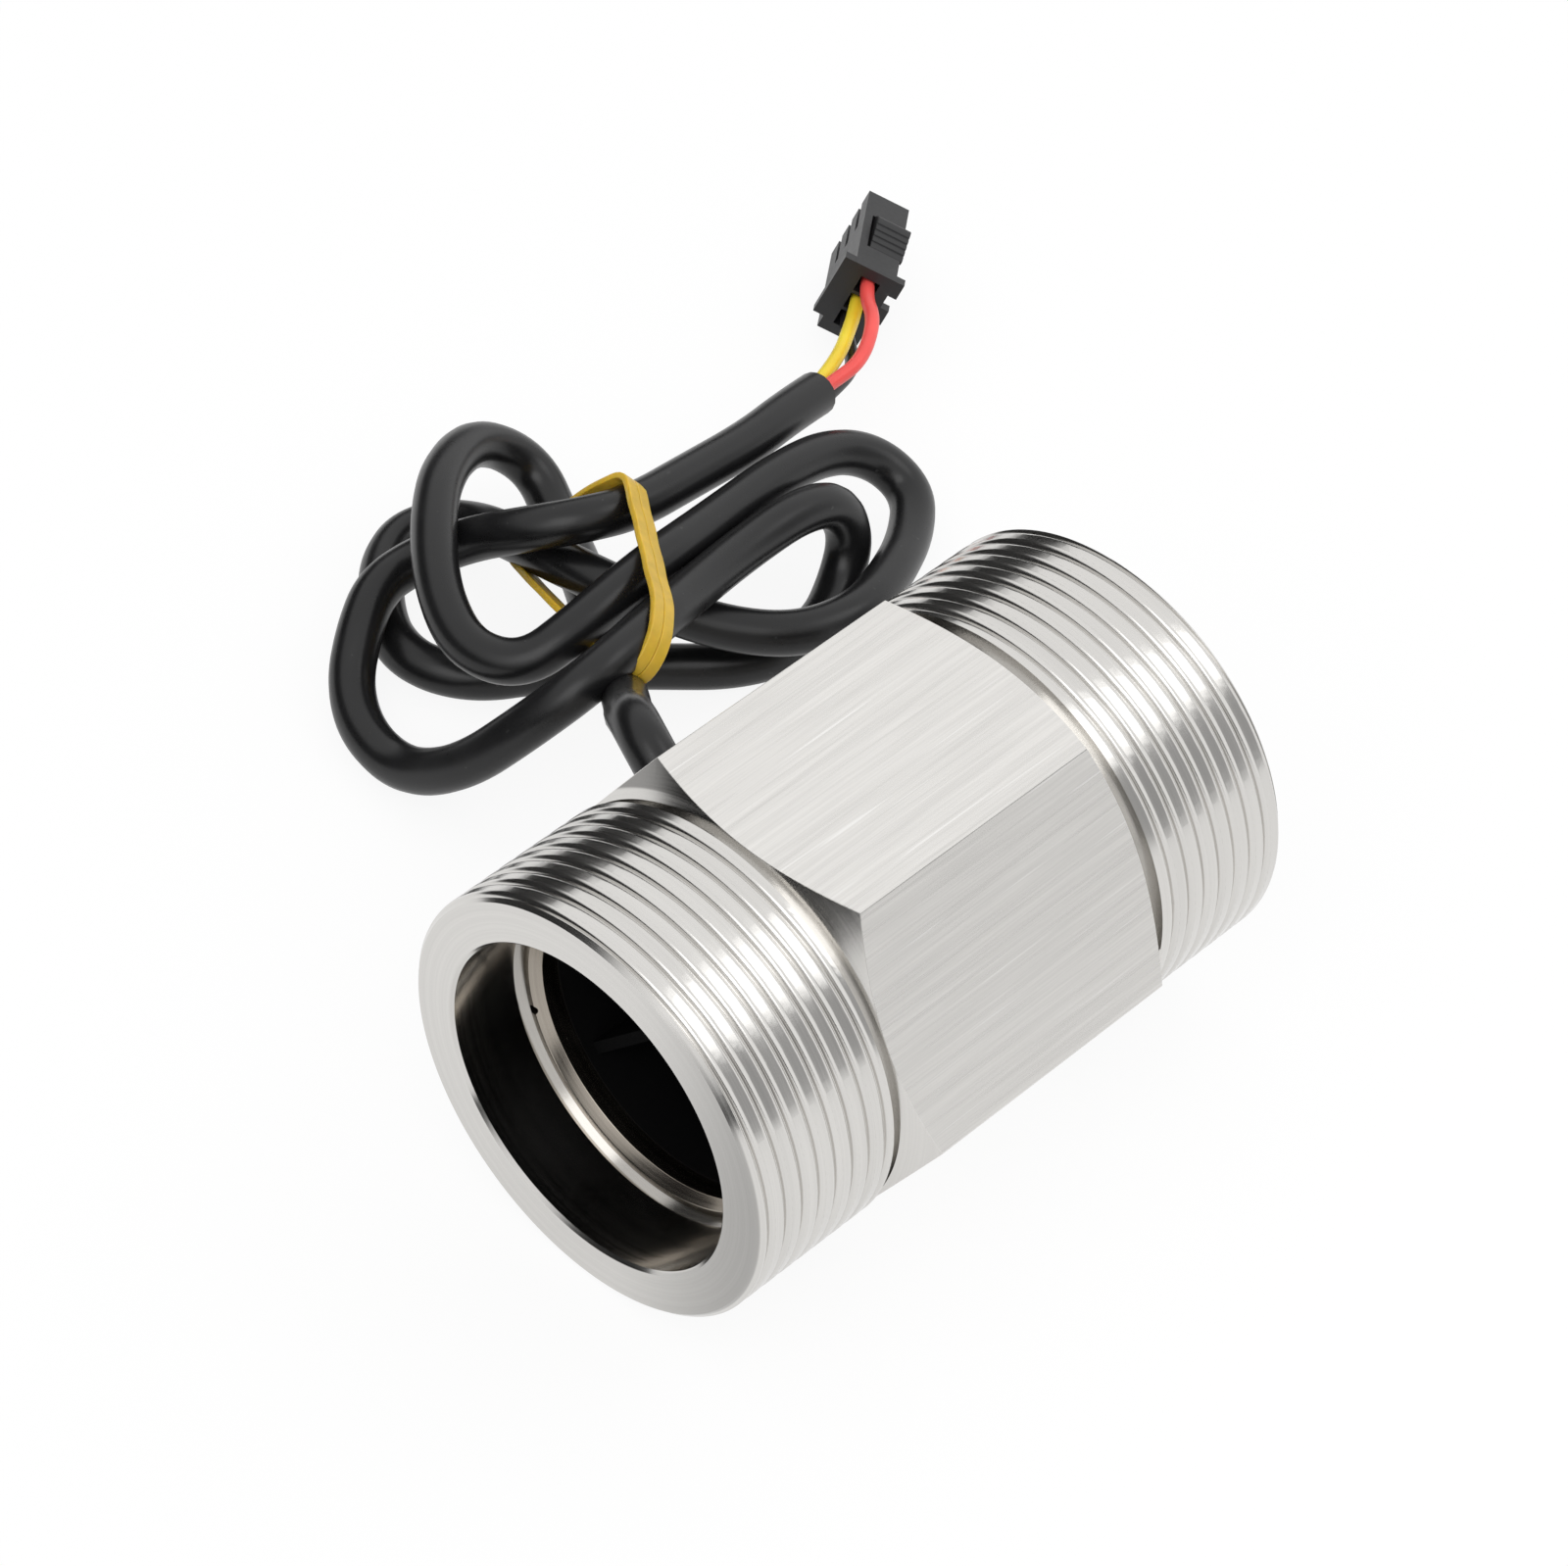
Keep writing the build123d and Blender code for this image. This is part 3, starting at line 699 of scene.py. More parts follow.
def steel_material(name, colour):
    """Bare steel: milled flats with scratches along the bore, turned elsewhere, with painted shade on the end
    faces and the corner cones.
    """
    s = Shader(name)
    place = s.place()
    x, y, z = s.axes(place)
    radius = off_axis(y, z)
    along = x.math("ABSOLUTE")
    lean, rise = math.cos(HEX_HALF_STEP), math.sin(HEX_HALF_STEP)
    up = z.math("ABSOLUTE")
    right = (y * lean + z * rise).math("ABSOLUTE")
    left = (y * lean - z * rise).math("ABSOLUTE")
    reach = up.math("MAXIMUM", right).math("MAXIMUM", left)
    middle = 1 - s.step(along, (HEX_END - 0.05) * MM, (HEX_END + 0.01) * MM)
    flat = s.step(reach, (FLAT_R - 0.08) * MM, (FLAT_R - 0.03) * MM) * middle
    turned_part = 1 - flat

    long_scratch = s.noise(s.stretched(place, (28.0, 1500.0, 1500.0)), 1.0, 4.0, 0.6)
    fine_scratch = s.noise(s.stretched(place, (90.0, 5200.0, 5200.0)), 1.0, 2.0, 0.5)
    deep_scratch = s.noise(s.stretched(place, (45.0, 2100.0, 2100.0)), 1.0, 1.0, 0.4)
    marks = s.step(deep_scratch, 0.68, 0.78)
    ringed = s.vector(x, radius, 0.0)
    turned = s.noise(ringed, 5200.0, 3.0, 0.55)
    wide_turned = s.noise(ringed, 900.0, 2.0, 0.5)
    cloud = s.noise(place, 60.0, 3.0, 0.5)

    rough_flat = 0.30 + long_scratch.swing(0.22) + fine_scratch.swing(0.12)
    rough_turned = 0.17 + turned.swing(0.12) + wide_turned.swing(0.10)
    roughness = (rough_turned + (rough_flat - rough_turned) * flat + cloud.swing(0.05)).clamp()
    height = (turned * 0.5) * turned_part + (long_scratch + fine_scratch * 0.5 + marks * 0.6) * flat
    tone = (long_scratch * 0.6 + fine_scratch * 0.4) * flat + (turned * 0.5 + wide_turned * 0.5) * turned_part
    contrast = 1 + flat * 1.2
    tint = s.mix((tone.swing(contrast) + 0.5).clamp(), shade(colour, 0.86), shade(colour, 1.12))
    end_face = s.step(along, (BODY_END - 0.35) * MM, (BODY_END - 0.15) * MM)
    # Painted shade: each end face grows darker towards -Y, by up to 0.35.
    sheen = s.step(y * -1, 4.0 * MM, 23.0 * MM) * end_face * 0.35
    # Painted dark reflection: the turned corner cones past the crests on the +Y side, at half strength.
    corner = s.step(radius, (CREST_R + 0.4) * MM, (CREST_R + 0.7) * MM) * s.step(y, -2.0 * MM, 4.0 * MM) * 0.5
    # All turned faces are a tenth darker in tone, plus the painted shade; the tint is mixed towards black by
    # this.
    painted_shade_and_tone = (0.1 + sheen + corner) * turned_part
    tint = s.mix(painted_shade_and_tone, tint, (0.0, 0.0, 0.0))
    bright = s.mix(marks * flat * 0.6, tint, (0.93, 0.92, 0.90))
    return s.finish(base_color=bright, metallic=1.0, roughness=roughness,
                    normal=s.bump(height, 0.004 * MM, 0.6))


def ring_material():
    """Turned stainless ring."""
    s = Shader("turned_ring_steel")
    place = s.place()
    x, y, z = s.axes(place)
    turned = s.noise(s.vector(x, off_axis(y, z), 0.0), 4200.0, 3.0, 0.6)
    cloud = s.noise(place, 180.0, 3.0, 0.5)
    tint = s.mix(turned, (0.27, 0.24, 0.205), (0.46, 0.42, 0.365))
    return s.finish(base_color=tint, metallic=1.0,
                    roughness=(0.22 + turned.swing(0.2) + cloud.swing(0.1)).clamp(),
                    normal=s.bump(turned, 0.004 * MM, 0.7))


def plastic_material(name, colour, roughness, grain=0.006, scale=1500.0, shine=0.5):
    """Moulded plastic with a fine eroded grain and a little dust in its colour."""
    s = Shader(name)
    place = s.place()
    fine = s.noise(place, scale, 3.0, 0.6)
    cloud = s.noise(place, scale * 0.08, 3.0, 0.5)
    tint = s.mix(cloud, shade(colour, 0.8), shade(colour, 1.35))
    return s.finish(base_color=tint, roughness=(roughness + fine.swing(0.16) + cloud.swing(0.1)).clamp(),
                    normal=s.bump(fine, grain * MM, 0.6), specular_ior_level=shine)


def sheath_material(name, colour, roughness, gloss=0.5):
    """Extruded sheath: smooth, with faint waves and specks of dust."""
    s = Shader(name)
    place = s.place()
    wave = s.noise(place, 230.0, 2.0, 0.5)
    fine = s.noise(place, 2600.0, 3.0, 0.6)
    dust = s.step(s.noise(place, 1500.0, 1.0, 0.3), 0.76, 0.82)
    tint = s.mix(wave, shade(colour, 0.8), shade(colour, 1.3))
    tint = s.mix(dust * 0.25, tint, (0.10, 0.10, 0.10))
    return s.finish(base_color=tint, roughness=(roughness + wave.swing(0.12) + fine.swing(0.1)).clamp(),
                    normal=s.bump(wave * 0.7 + fine * 0.3, 0.02 * MM, 0.5), specular_ior_level=gloss)


def rubber_material(name, colour):
    """Amber rubber with a waxy sheen and darker clouds."""
    s = Shader(name)
    place = s.place()
    cloud = s.noise(place, 420.0, 3.0, 0.6)
    fine = s.noise(place, 2800.0, 3.0, 0.6)
    tint = s.mix(cloud, shade(colour, 0.72), shade(colour, 1.25))
    return s.finish(base_color=tint, roughness=(0.36 + fine.swing(0.2)).clamp(),
                    normal=s.bump(fine * 0.5 + cloud * 0.5, 0.03 * MM, 0.6),
                    subsurface_weight=0.25, subsurface_radius=(1.0, 0.45, 0.08), subsurface_scale=0.8 * MM)


def metal_material(name, colour, roughness, scale=900.0):
    """Small turned or plated metal parts."""
    s = Shader(name)
    fine = s.noise(s.place(), scale, 4.0, 0.6)
    tint = s.mix(fine, shade(colour, 0.85), shade(colour, 1.12))
    return s.finish(base_color=tint, metallic=1.0, roughness=(roughness + fine.swing(0.25)).clamp(),
                    normal=s.bump(fine, 0.005 * MM, 0.5))


class FLOWMETER_OT_stage(bpy.types.Operator):
    """Add the floor, the soft lamps, the surroundings and the photograph's camera"""
    bl_idname = "flowmeter.stage"
    bl_label = "Stage and Camera"

    def execute(self, context):
        settings = context.scene.flowmeter_stage
        self.camera(context, settings)
        self.floor(settings)
        self.lamps(context)
        self.surroundings(context)
        context.scene.view_settings.view_transform = "Standard"
        return {"FINISHED"}

    def camera(self, context, settings):
        data = bpy.data.cameras.new("camera")
        data.sensor_width = SENSOR_WIDTH
        data.lens = settings.lens
        data.clip_start, data.clip_end = CAMERA_CLIP
        camera = bpy.data.objects.new("camera", data)
        context.scene.collection.objects.link(camera)
        up = CAMERA_BACK.cross(CAMERA_RIGHT)
        camera.matrix_world = place_with(CAMERA_RIGHT, up, CAMERA_BACK, CAMERA_PLACE)
        context.scene.camera = camera

    def floor(self, settings):
        deselect()
        bpy.ops.mesh.primitive_plane_add(size=FLOOR_SIZE, location=(0, 0, -CREST_R * MM))
        floor = named("floor")
        s = Shader("pale_floor")
        path = s.add("ShaderNodeLightPath")
        seen = Value(s, path.outputs["Is Camera Ray"])
        shiny = Value(s, path.outputs["Is Glossy Ray"])
        clear = Value(s, path.outputs["Is Transmission Ray"])
        mirrored = (seen * GLOW_SEEN).math("MAXIMUM", shiny * GLOW_MIRRORED)
        share = mirrored.math("MAXIMUM", clear * GLOW_CLEAR)
        paper = s.add("ShaderNodeBsdfDiffuse", {}, {"Color": (*settings.floor_colour, 1.0)})
        white = s.add("ShaderNodeEmission", {}, {"Color": WHITE, "Strength": 1.0})
        both = s.blend(share, paper, white)
        # Painted dark reflection: past the object, mirrors see the floor as black
        y = s.axes(s.place())[1]
        black = s.add("ShaderNodeBsdfDiffuse", {}, {"Color": DARK_REFLECTION_BLACK})
        with_dark_reflection = s.blend(s.step(y, *DARK_REFLECTION_REACH) * shiny, both, black)
        s.add("ShaderNodeOutputMaterial", {}, {"Surface": with_dark_reflection.outputs[0]})
        floor.data.materials.append(s.material)

    def lamps(self, context):
        for name, (place, size, power) in LAMPS.items():
            data = bpy.data.lights.new(name, "AREA")
            data.shape = "SQUARE"
            data.size = size
            data.energy = power
            lamp = bpy.data.objects.new(name, data)
            context.scene.collection.objects.link(lamp)
            lamp.location = place
            lamp.rotation_mode = "QUATERNION"
            lamp.rotation_quaternion = (-Vector(place)).to_track_quat("-Z", "Y")

    def surroundings(self, context):
        world = bpy.data.worlds.new("studio")
        context.scene.world = world
        world.use_nodes = True
        s = Shader("studio", world.node_tree)
        place = s.add("ShaderNodeTexCoord").outputs["Generated"]

        def patch(direction, full, end):
            """1 near a direction and 0 away from it, by the cosine of the angle."""
            aim = Vector(direction).normalized()
            node = s.add("ShaderNodeVectorMath", {"operation": "DOT_PRODUCT"}, {0: place, 1: aim})
            return s.step(Value(s, node.outputs["Value"]), end, full)

        overhead = patch(*OVERHEAD_PATCH)
        front = patch(*FRONT_PATCH)
        grey = patch(*GREY_PATCH)
        level = DIM_GLOW + overhead * OVERHEAD_GLOW + (1 - overhead) * front * FRONT_GLOW
        level = level * (1 - grey * GREY_SHADE)
        seen = Value(s, s.add("ShaderNodeLightPath").outputs["Is Camera Ray"])
        sky = s.add("ShaderNodeBackground", {}, {"Color": WHITE, "Strength": seen + (1 - seen) * level})
        s.add("ShaderNodeOutputWorld", {}, {"Surface": sky.outputs[0]})


class FLOWMETER_OT_cord(bpy.types.Operator):
    """Lay the black cord and its three bare wires"""
    bl_idname = "flowmeter.cord"
    bl_label = "Cord and Wires"

    def execute(self, context):
        sizes = context.scene.flowmeter_cord
        sheath = smooth_curve("cord_sheath", CORD_ROUTE, sizes.cord_diameter, CORD_RESOLUTION)
        material = sheath_material("cord_sheath", sizes.sheath_colour[:], 0.3, gloss=0.42)
        keep(sheath, material, BODY, ["sensor_cable"])
        colours = {"yellow": sizes.yellow_colour[:], "red": sizes.red_colour[:], "black": BLACK_WIRE}
        for colour, (points, clock, level) in WIRES.items():
            route = self.wire_route(points, clock, level, sizes.wire_diameter / MM)
            wire = smooth_curve(colour + "_core", route, sizes.wire_diameter, WIRE_RESOLUTION)
            keep(wire, sheath_material(colour + "_wire", colours[colour], 0.38), BODY,
                 [colour + "_wire"])
        return {"FINISHED"}

    def wire_route(self, points, clock, level, diameter):
        """From the sheath's end, where the three wires nearly touch, to its way in the plug."""
        end = Vector(CORD_ROUTE[-1])
        heading = (end - Vector(CORD_ROUTE[-2])).normalized()
        side = Vector((0, 0, 1)).cross(heading).normalized()
        other = heading.cross(side)
        spread = diameter / 2 / math.sin(WIRE_HALF_STEP) + WIRE_GAP
        turn = math.radians(clock)
        first = end + side * spread * math.cos(turn) + other * spread * math.sin(turn)
        way = PLUG_ORIGIN + PLUG_UP * CONTACT_PITCH * level
        inside = first - heading * WIRE_LEAD
        return ([inside, first, first + heading * WIRE_LEAD] + [Vector(p) for p in points]
                + [way - PLUG_FORWARD * WIRE_LEAD, way + PLUG_FORWARD * WIRE_DEPTH])


class FLOWMETER_OT_body(bpy.types.Operator):
    """Turn, mill and thread the steel body"""
    bl_idname = "flowmeter.body"
    bl_label = "Steel Body"

    def execute(self, context):
        sizes = context.scene.flowmeter_body
        crest = sizes.thread_diameter / 2 / MM
        outside = both_ends([
            (-BODY_END, crest - PORT_CHAMFER), (-BODY_END + PORT_CHAMFER, crest), (-THREAD_END, crest),
            (-THREAD_END, RELIEF_R), (-NECK_END, RELIEF_R), (-NECK_END, NECK_R)])
        body = lathe("steel_body", outside + both_ends(self.bore_line())[::-1], closed=True)
        groove = self.thread_groove(sizes.thread_pitch / MM, crest)
        far_groove = half_turn(copy_of(groove, "far_groove"))
        combine(body, groove, "DIFFERENCE")
        combine(body, far_groove, "DIFFERENCE")
        combine(body, self.hexagon(sizes), "UNION")
        smooth(body)
        keep(body, steel_material("milled_and_turned_steel", sizes.steel_colour[:]), BODY,
             ["meter_body"])
        return {"FINISHED"}

    def bore_line(self):
        """The bore's outline from the inlet's face to the cartridge."""
        return [
            (-BODY_END, MOUTH_R + MOUTH_CHAMFER), (-BODY_END + MOUTH_CHAMFER, MOUTH_R),
            (-BODY_END + MOUTH_DEPTH, MOUTH_R), (-BODY_END + MOUTH_DEPTH, GROOVE_R),
            (-RING_FRONT, GROOVE_R), (-RING_FRONT, RING_SEAT_R), (-RING_BACK, RING_SEAT_R),
            (-RING_BACK, CARTRIDGE_R)]

    def thread_groove(self, pitch, crest):
        """The narrow groove between two crowned crests, wound along the thread."""
        half = [(x, crest - drop) for x, drop in THREAD_GROOVE]
        half.append((THREAD_GROOVE[-1][0], crest + THREAD_CLEAR))
        outline = [(-x, r) for x, r in reversed(half[1:])] + half
        points = [((THREAD_START + x) * MM, r * MM, 0.0) for x, r in outline]
        groove = draw_line("thread_groove", points, closed=True)
        close_edit()
        apply_modifier(groove, "SCREW", axis="X", angle=2 * math.pi, screw_offset=pitch * MM,
                       iterations=THREAD_TURNS, steps=THREAD_STEPS, render_steps=THREAD_STEPS,
                       use_merge_vertices=False, use_smooth_shade=False)
        edit(groove)
        bpy.ops.mesh.select_all(action="DESELECT")
        bpy.ops.mesh.select_mode(type="VERT")
        bpy.ops.mesh.select_non_manifold(extend=False, use_wire=False, use_multi_face=False,
                                         use_non_contiguous=False, use_verts=False)
        bpy.ops.mesh.edge_face_add()
        clean_shell()
        close_edit()
        return groove

    def hexagon(self, sizes):
        """The hexagon with both ends turned down to a cone, hollow and with the sensor's pocket."""
        corner = sizes.across_flats / 2 / math.cos(HEX_HALF_STEP)
        hexagon = cylinder("hexagon", 6, corner, 2 * (HEX_END + CLEAR) * MM, ALONG_BORE)
        break_edges(hexagon, sizes.edge_width, segments=2, angle=50.0)
        reach = corner / MM + CLEAR
        rise = (reach - LAND_R) * math.tan(CONE_SLOPE)
        blank = lathe("cone_blank", both_ends([
            (-HEX_END, 0), (-HEX_END, LAND_R), (-HEX_END + rise, reach)]), steps=CONE_STEPS)
        combine(hexagon, blank, "INTERSECT")
        hollow = lathe("hollow_cutter", both_ends([(-BODY_END, 0), (-BODY_END, HOLLOW_R)]),
                       steps=HOLLOW_STEPS)
        combine(hexagon, hollow, "DIFFERENCE")
        pocket = stadium("pocket_cutter", POCKET_DEPTH, POCKET_CLEAR)
        return combine(hexagon, move_mesh(pocket, pocket_place()), "DIFFERENCE")


class FLOWMETER_OT_rings(bpy.types.Operator):
    """Turn the two retaining rings with their spanner holes"""
    bl_idname = "flowmeter.rings"
    bl_label = "Retaining Rings"

    def execute(self, context):
        outside = RING_SEAT_R - RING_PLAY
        cone = RING_HOLE_R + RING_BEVEL
        front_in, front_out = RING_FRONT_BREAK
        hole_in, hole_out = RING_HOLE_BREAK
        ring = lathe("inlet_ring", [
            (-RING_FRONT, outside), (-RING_FRONT, cone + front_out), (-RING_FRONT + front_in, cone),
            (-RING_FRONT + RING_BEVEL, RING_HOLE_R + hole_out),
            (-RING_FRONT + RING_BEVEL + hole_in, RING_HOLE_R),
            (-RING_BACK, RING_HOLE_R), (-RING_BACK, outside)], closed=True)
        for turn in SPANNER_TURNS:
            combine(ring, self.spanner_hole(math.radians(turn)), "DIFFERENCE")
        smooth(ring)
        far_ring = half_turn(copy_of(ring, "outlet_ring"))
        material = ring_material()
        keep(ring, material, BODY, ["inlet_retaining_ring"])
        keep(far_ring, material, BODY, ["outlet_retaining_ring"])
        return {"FINISHED"}

    def spanner_hole(self, angle):
        """A small hole's cutter, in the middle of the ring's flat front."""
        seat = (RING_SEAT_R + RING_HOLE_R + RING_BEVEL) / 2
        place = (-RING_FRONT * MM, seat * math.cos(angle) * MM, seat * math.sin(angle) * MM)
        return cylinder("spanner_hole", SPANNER_STEPS, SPANNER_R * MM, SPANNER_LENGTH * MM, ALONG_BORE, place)


class FLOWMETER_OT_resin(bpy.types.Operator):
    """Pour the black resin into the sensor's pocket"""
    bl_idname = "flowmeter.resin"
    bl_label = "Potting Resin"

    def execute(self, context):
        resin = stadium("potting_resin", POCKET_DEPTH - RESIN_FLOOR_GAP, RESIN_EDGE, RESIN_WALL_GAP)
        top = max(v.co.z for v in resin.data.vertices)
        edit(resin)
        bpy.ops.mesh.select_mode(type="FACE")
        bpy.ops.mesh.select_all(action="DESELECT")
        shape = bmesh.from_edit_mesh(resin.data)
        for face in shape.faces:
            faces_up = face.normal.z > 0.9
            face.select = faces_up and abs(face.calc_center_median().z - top) < MERGE
        bmesh.update_edit_mesh(resin.data)
        for inward, rise in RESIN_DOME:
            bpy.ops.mesh.inset(thickness=inward * MM, depth=rise * MM)
        clean_shell()
        close_edit()
        move_mesh(resin, pocket_place())
        smooth(resin, 50.0)
        material = plastic_material("black_resin", (0.010, 0.010, 0.011), 0.24, grain=0.01, scale=700.0)
        keep(resin, material, BODY, ["sensor_potting"])
        return {"FINISHED"}


class FLOWMETER_OT_plug(bpy.types.Operator):
    """Mould the plug's housing and its latch"""
    bl_idname = "flowmeter.plug"
    bl_label = "Plug"

    def execute(self, context):
        sizes = context.scene.flowmeter_plug
        material = plastic_material("moulded_black", sizes.plug_colour[:], 0.42, scale=1800.0)
        housing = self.housing(sizes)
        keep(housing, material, BODY, ["connector_housing"])
        latch = self.latch(sizes)
        keep(latch, material, "latch", ["connector_latch"])
        return {"FINISHED"}

    def housing(self, sizes):
        """The housing with its flange and tabs, its shroud, and its ways, slots and latch recess."""
        wide, high, long = PLUG_HALF_WIDTH, PLUG_HALF_HEIGHT, PLUG_LENGTH
        past = long + CLEAR
        housing = block("plug_housing", (PLUG_START, -wide, -high), (long, wide, high))
        flange_wide, flange_high = wide + FLANGE_PROUD, high + FLANGE_PROUD
        add_block(housing, (0, -flange_wide, -flange_high), (FLANGE_END, flange_wide, flange_high))
        for (right, left), (low, top) in TABS:
            add_block(housing, (0, right, low), (TAB_END, left, top))
        break_edges(housing, sizes.edge_round, segments=2, angle=40.0)
        half, tall = SHROUD_HALF
        cut_block(housing, (long - SHROUD_DEPTH, -half, -tall), (past, half, tall))
        half, tall = WAY_HALF
        for level in (CONTACT_PITCH, 0, -CONTACT_PITCH):
            cut_block(housing, (-CLEAR, -half, level - tall), (long - WAY_STOP, half, level + tall))
            cut_block(housing, (long - SLOT_LENGTH, 0, level - SLOT_HALF),
                      (past, wide + CLEAR, level + SLOT_HALF))
        rear, front = RECESS
        cut_block(housing, (rear, -wide - CLEAR, high - RECESS_DEPTH), (front, RECESS_LEFT, high + CLEAR))
        move_mesh(housing, plug_place())
        return smooth(housing)

    def latch(self, sizes):
        """The lever's side view, drawn from its rear round its top, and made as wide as it is."""
        outline = [(LATCH_REAR, LATCH_UNDER), (LATCH_REAR, LATCH_TOP)]
        for i in range(sizes.rib_count):
            share = (i + 1) / (sizes.rib_count + 1)
            x = LATCH_REAR + share * (LATCH_RIDGE - LATCH_REAR)
            z = LATCH_TOP + share * LATCH_RISE
            outline += [(x + along, z + up) for along, up in LATCH_GROOVE]
        ridge = LATCH_TOP + LATCH_RISE
        outline += [(LATCH_RIDGE, ridge), (LATCH_RIDGE + LATCH_NOSE[0], ridge + LATCH_NOSE[1]),
                    (LATCH_FRONT, LATCH_TOP + LATCH_LIP), (LATCH_FRONT, LATCH_UNDER)]
        points = [(x * MM, LATCH_LEFT * MM, z * MM) for x, z in outline]
        latch = prism("plug_latch", points, (0, -LATCH_WIDTH * MM, 0))
        break_edges(latch, LATCH_BREAK * MM, segments=1, angle=40.0)
        move_mesh(latch, plug_place())
        return smooth(latch)


class FLOWMETER_OT_band(bpy.types.Operator):
    """Stretch the rubber band round the cord's strands"""
    bl_idname = "flowmeter.band"
    bl_label = "Rubber Band"

    def execute(self, context):
        sizes = context.scene.flowmeter_band
        line = line_of(bpy.data.objects["cord_sheath"])
        material = rubber_material("amber_rubber", sizes.band_colour[:])
        rim = self.rim(line, context.scene.flowmeter_cord.cord_diameter / 2)
        strands = []
        for side in (-1, 1):
            offset = side * (sizes.strand_width / 2 + BAND_HALF_GROOVE * MM)
            strands.append(self.strand(rim, BAND_MIDDLE * MM + BAND_ACROSS * offset, sizes))
        pick(strands[0])
        strands[1].select_set(True)
        bpy.ops.object.join()
        band = named("band_strands")
        smooth(band, 60.0)
        keep(band, material, BODY, ["rubber_band"])
        return {"FINISHED"}

    def rim(self, line, radius):
        """The tight line round the cord in the band's plane, as (along, rise) pairs."""
        middle = BAND_MIDDLE * MM
        gap = BAND_GAP * MM
        rims = []
        for a, b in zip(line, line[1:]):
            near, far = (a - middle).dot(BAND_ACROSS), (b - middle).dot(BAND_ACROSS)
            if near * far >= 0:
                continue
            hit = a + (b - a) * (near / (near - far)) - middle
            if hit.length > BAND_REACH * MM:
                continue
            place = Vector((hit.dot(BAND_ALONG), hit.dot(BAND_RISE)))
            heading = (b - a).normalized()
            slant = max(abs(heading.dot(BAND_ACROSS)), BAND_SLANT)
            flat = Vector((heading.dot(BAND_ALONG), heading.dot(BAND_RISE))).normalized()
            side = Vector((-flat.y, flat.x))
            for i in range(ROUND_POINTS):
                turn = 2 * math.pi * i / ROUND_POINTS
                rims.append(place + flat * (radius / slant + gap) * math.cos(turn)
                            + side * (radius + gap) * math.sin(turn))
        return self.evenly([rims[i] for i in convex_hull_2d(rims)], BAND_POINTS)

    def evenly(self, loop, count):
        """Points at equal steps round a closed loop."""
        sides = [(b - a).length for a, b in zip(loop, loop[1:] + loop[:1])]
        total = sum(sides)
        points = []
        index, passed = 0, 0.0
        for i in range(count):
            goal = total * i / count
            while passed + sides[index] < goal:
                passed += sides[index]
                index += 1
            share = (goal - passed) / sides[index]
            points.append(loop[index].lerp(loop[(index + 1) % len(loop)], share))
        return points

    def sway(self, place):
        """How far a strand leans to the side at a place of the rim, in millimetres."""
        width_up, turn_up = BAND_SWAY_UP
        width_along, turn_along = BAND_SWAY_ALONG
        return (width_up * math.sin(place.y / MM * turn_up)
                + width_along * math.sin(place.x / MM * turn_along))

    def strand(self, rim, middle, sizes):
        """One flat strand: the rim's line, extruded to its width and given its thickness."""
        edge = middle - BAND_ACROSS * sizes.strand_width / 2
        low = [edge + BAND_ALONG * p.x + BAND_RISE * p.y + BAND_ACROSS * self.sway(p) * MM for p in rim]
        strand = draw_line("strand", low, closed=True)
        bpy.ops.mesh.extrude_region_move(
            TRANSFORM_OT_translate={"value": BAND_ACROSS * sizes.strand_width})
        bpy.ops.mesh.select_all(action="SELECT")
        bpy.ops.mesh.normals_make_consistent(inside=False)
        shape = bmesh.from_edit_mesh(strand.data)
        face = next(iter(shape.faces))
        heart = sum(low, Vector()) / len(low)
        if face.normal.dot(face.calc_center_median() - heart) < 0:
            bpy.ops.mesh.flip_normals()
        close_edit()
        apply_modifier(strand, "SOLIDIFY", thickness=sizes.strand_thickness, offset=1.0)
        break_edges(strand, BAND_BREAK * MM, segments=2, angle=50.0)
        return strand


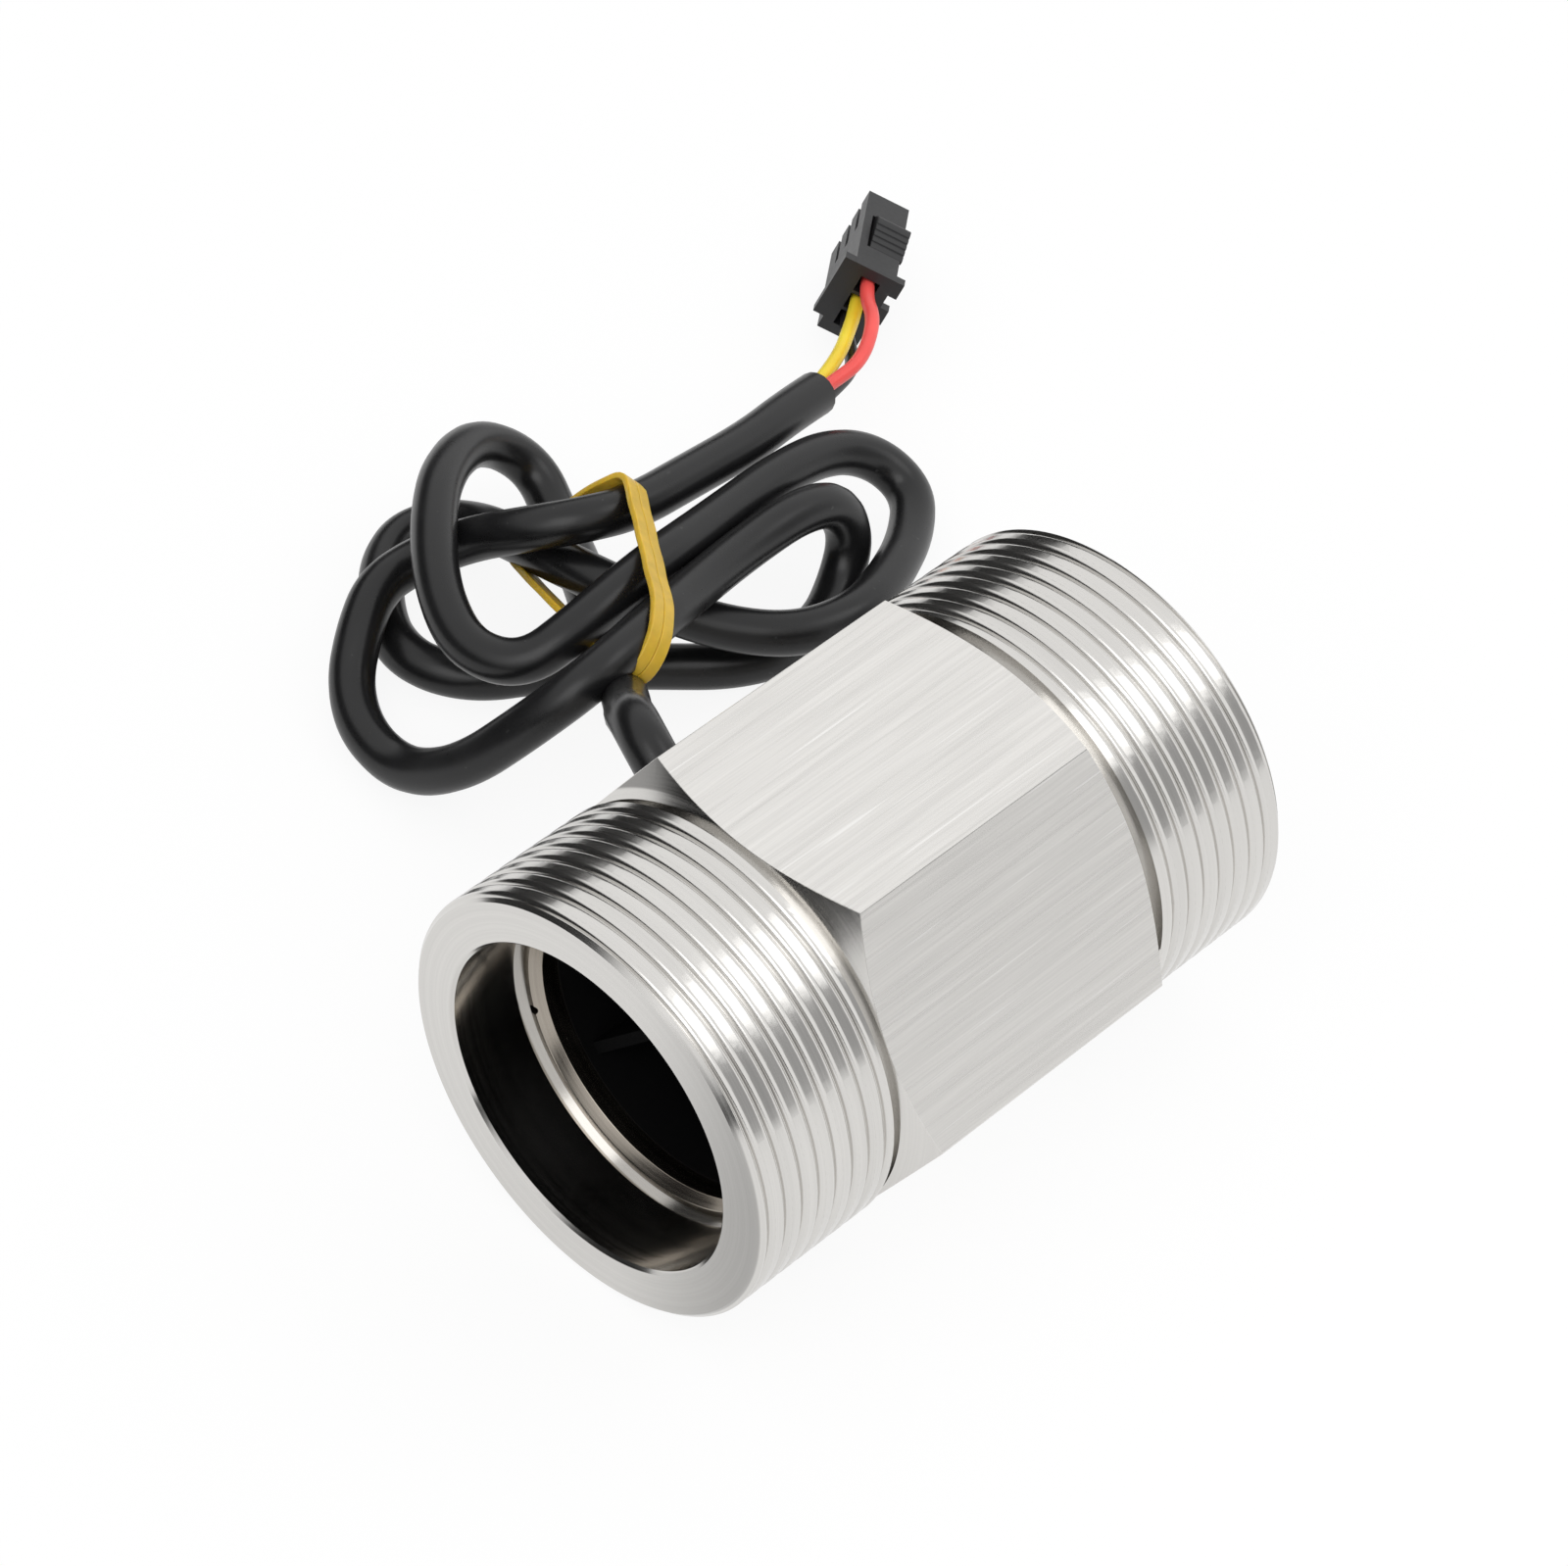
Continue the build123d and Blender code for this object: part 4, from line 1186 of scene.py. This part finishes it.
class FLOWMETER_OT_insides(bpy.types.Operator):
    """Dress the CAD parts inside the bore, the pocket and the plug"""
    bl_idname = "flowmeter.insides"
    bl_label = "Inner Parts"

    def execute(self, context):
        self.plastics()
        self.metals()
        return {"FINISHED"}

    def plastics(self):
        dress(plastic_material("cartridge_black", (0.004, 0.004, 0.0042), 0.75, shine=0.05),
              "inlet_support", "outlet_support", "turbine_sleeve")
        dress(plastic_material("rotor_black", (0.006, 0.006, 0.0065), 0.6, shine=0.12), "turbine_rotor")
        dress(plastic_material("seal_rubber", (0.012, 0.012, 0.012), 0.6), "sleeve_seals")
        dress(plastic_material("white_ceramic", (0.82, 0.81, 0.78), 0.2, grain=0.002),
              "inlet_thrust_pad", "outlet_thrust_pad")
        dress(plastic_material("solder_mask", (0.02, 0.16, 0.05), 0.35, grain=0.004), "sensor_board")
        dress(plastic_material("chip_epoxy", (0.02, 0.02, 0.021), 0.5), "hall_sensor", "board_chips")

    def metals(self):
        dress(metal_material("sintered_bronze", (0.55, 0.33, 0.15), 0.42, scale=3000.0),
              "inlet_bush", "outlet_bush")
        dress(metal_material("ground_steel", (0.74, 0.73, 0.71), 0.18), "rotor_shaft")
        dress(metal_material("nickel_plate", (0.72, 0.70, 0.66), 0.22), "rotor_magnets")
        dress(metal_material("tinned_contact", (0.72, 0.71, 0.68), 0.28, scale=2500.0), "connector_contacts")


GROUPS = {
    "flowmeter_body": SteelBodySizes, "flowmeter_cord": CordSizes, "flowmeter_band": BandSizes,
    "flowmeter_plug": PlugSizes, "flowmeter_stage": StageSettings,
}
PIECE_OPERATORS = (
    FLOWMETER_OT_stage, FLOWMETER_OT_cord, FLOWMETER_OT_body, FLOWMETER_OT_rings,
    FLOWMETER_OT_resin, FLOWMETER_OT_plug, FLOWMETER_OT_band, FLOWMETER_OT_insides)


class FLOWMETER_PT_panel(bpy.types.Panel):
    """Lists the sizes, the colours and the pieces"""
    bl_label = "Flow Meter"
    bl_idname = "FLOWMETER_PT_panel"
    bl_space_type = "VIEW_3D"
    bl_region_type = "UI"
    bl_category = "Flow Meter"

    def draw(self, context):
        for name, group in GROUPS.items():
            box = self.layout.box()
            for key in group.__annotations__:
                box.prop(getattr(context.scene, name), key)
        for operator in PIECE_OPERATORS:
            self.layout.operator(operator.bl_idname)


def register():
    for group in GROUPS.values():
        bpy.utils.register_class(group)
    for name, group in GROUPS.items():
        setattr(bpy.types.Scene, name, PointerProperty(type=group))
    for operator in PIECE_OPERATORS:
        bpy.utils.register_class(operator)
    bpy.utils.register_class(FLOWMETER_PT_panel)


def unregister():
    bpy.utils.unregister_class(FLOWMETER_PT_panel)
    for operator in reversed(PIECE_OPERATORS):
        bpy.utils.unregister_class(operator)
    for name, group in reversed(list(GROUPS.items())):
        delattr(bpy.types.Scene, name)
        bpy.utils.unregister_class(group)


def declare_cord():
    """Measure the length of the cord's line; the length is not used further."""
    sheath = bpy.data.objects["cord_sheath"]
    length = length_of(line_of(sheath))


def main():
    register()
    bpy.ops.flowmeter.stage()
    bpy.ops.flowmeter.cord()
    bpy.ops.flowmeter.body()
    bpy.ops.flowmeter.rings()
    bpy.ops.flowmeter.resin()
    bpy.ops.flowmeter.plug()
    bpy.ops.flowmeter.band()
    bpy.ops.flowmeter.insides()
    declare_cord()
    deselect()


if __name__ == "__main__":
    main()
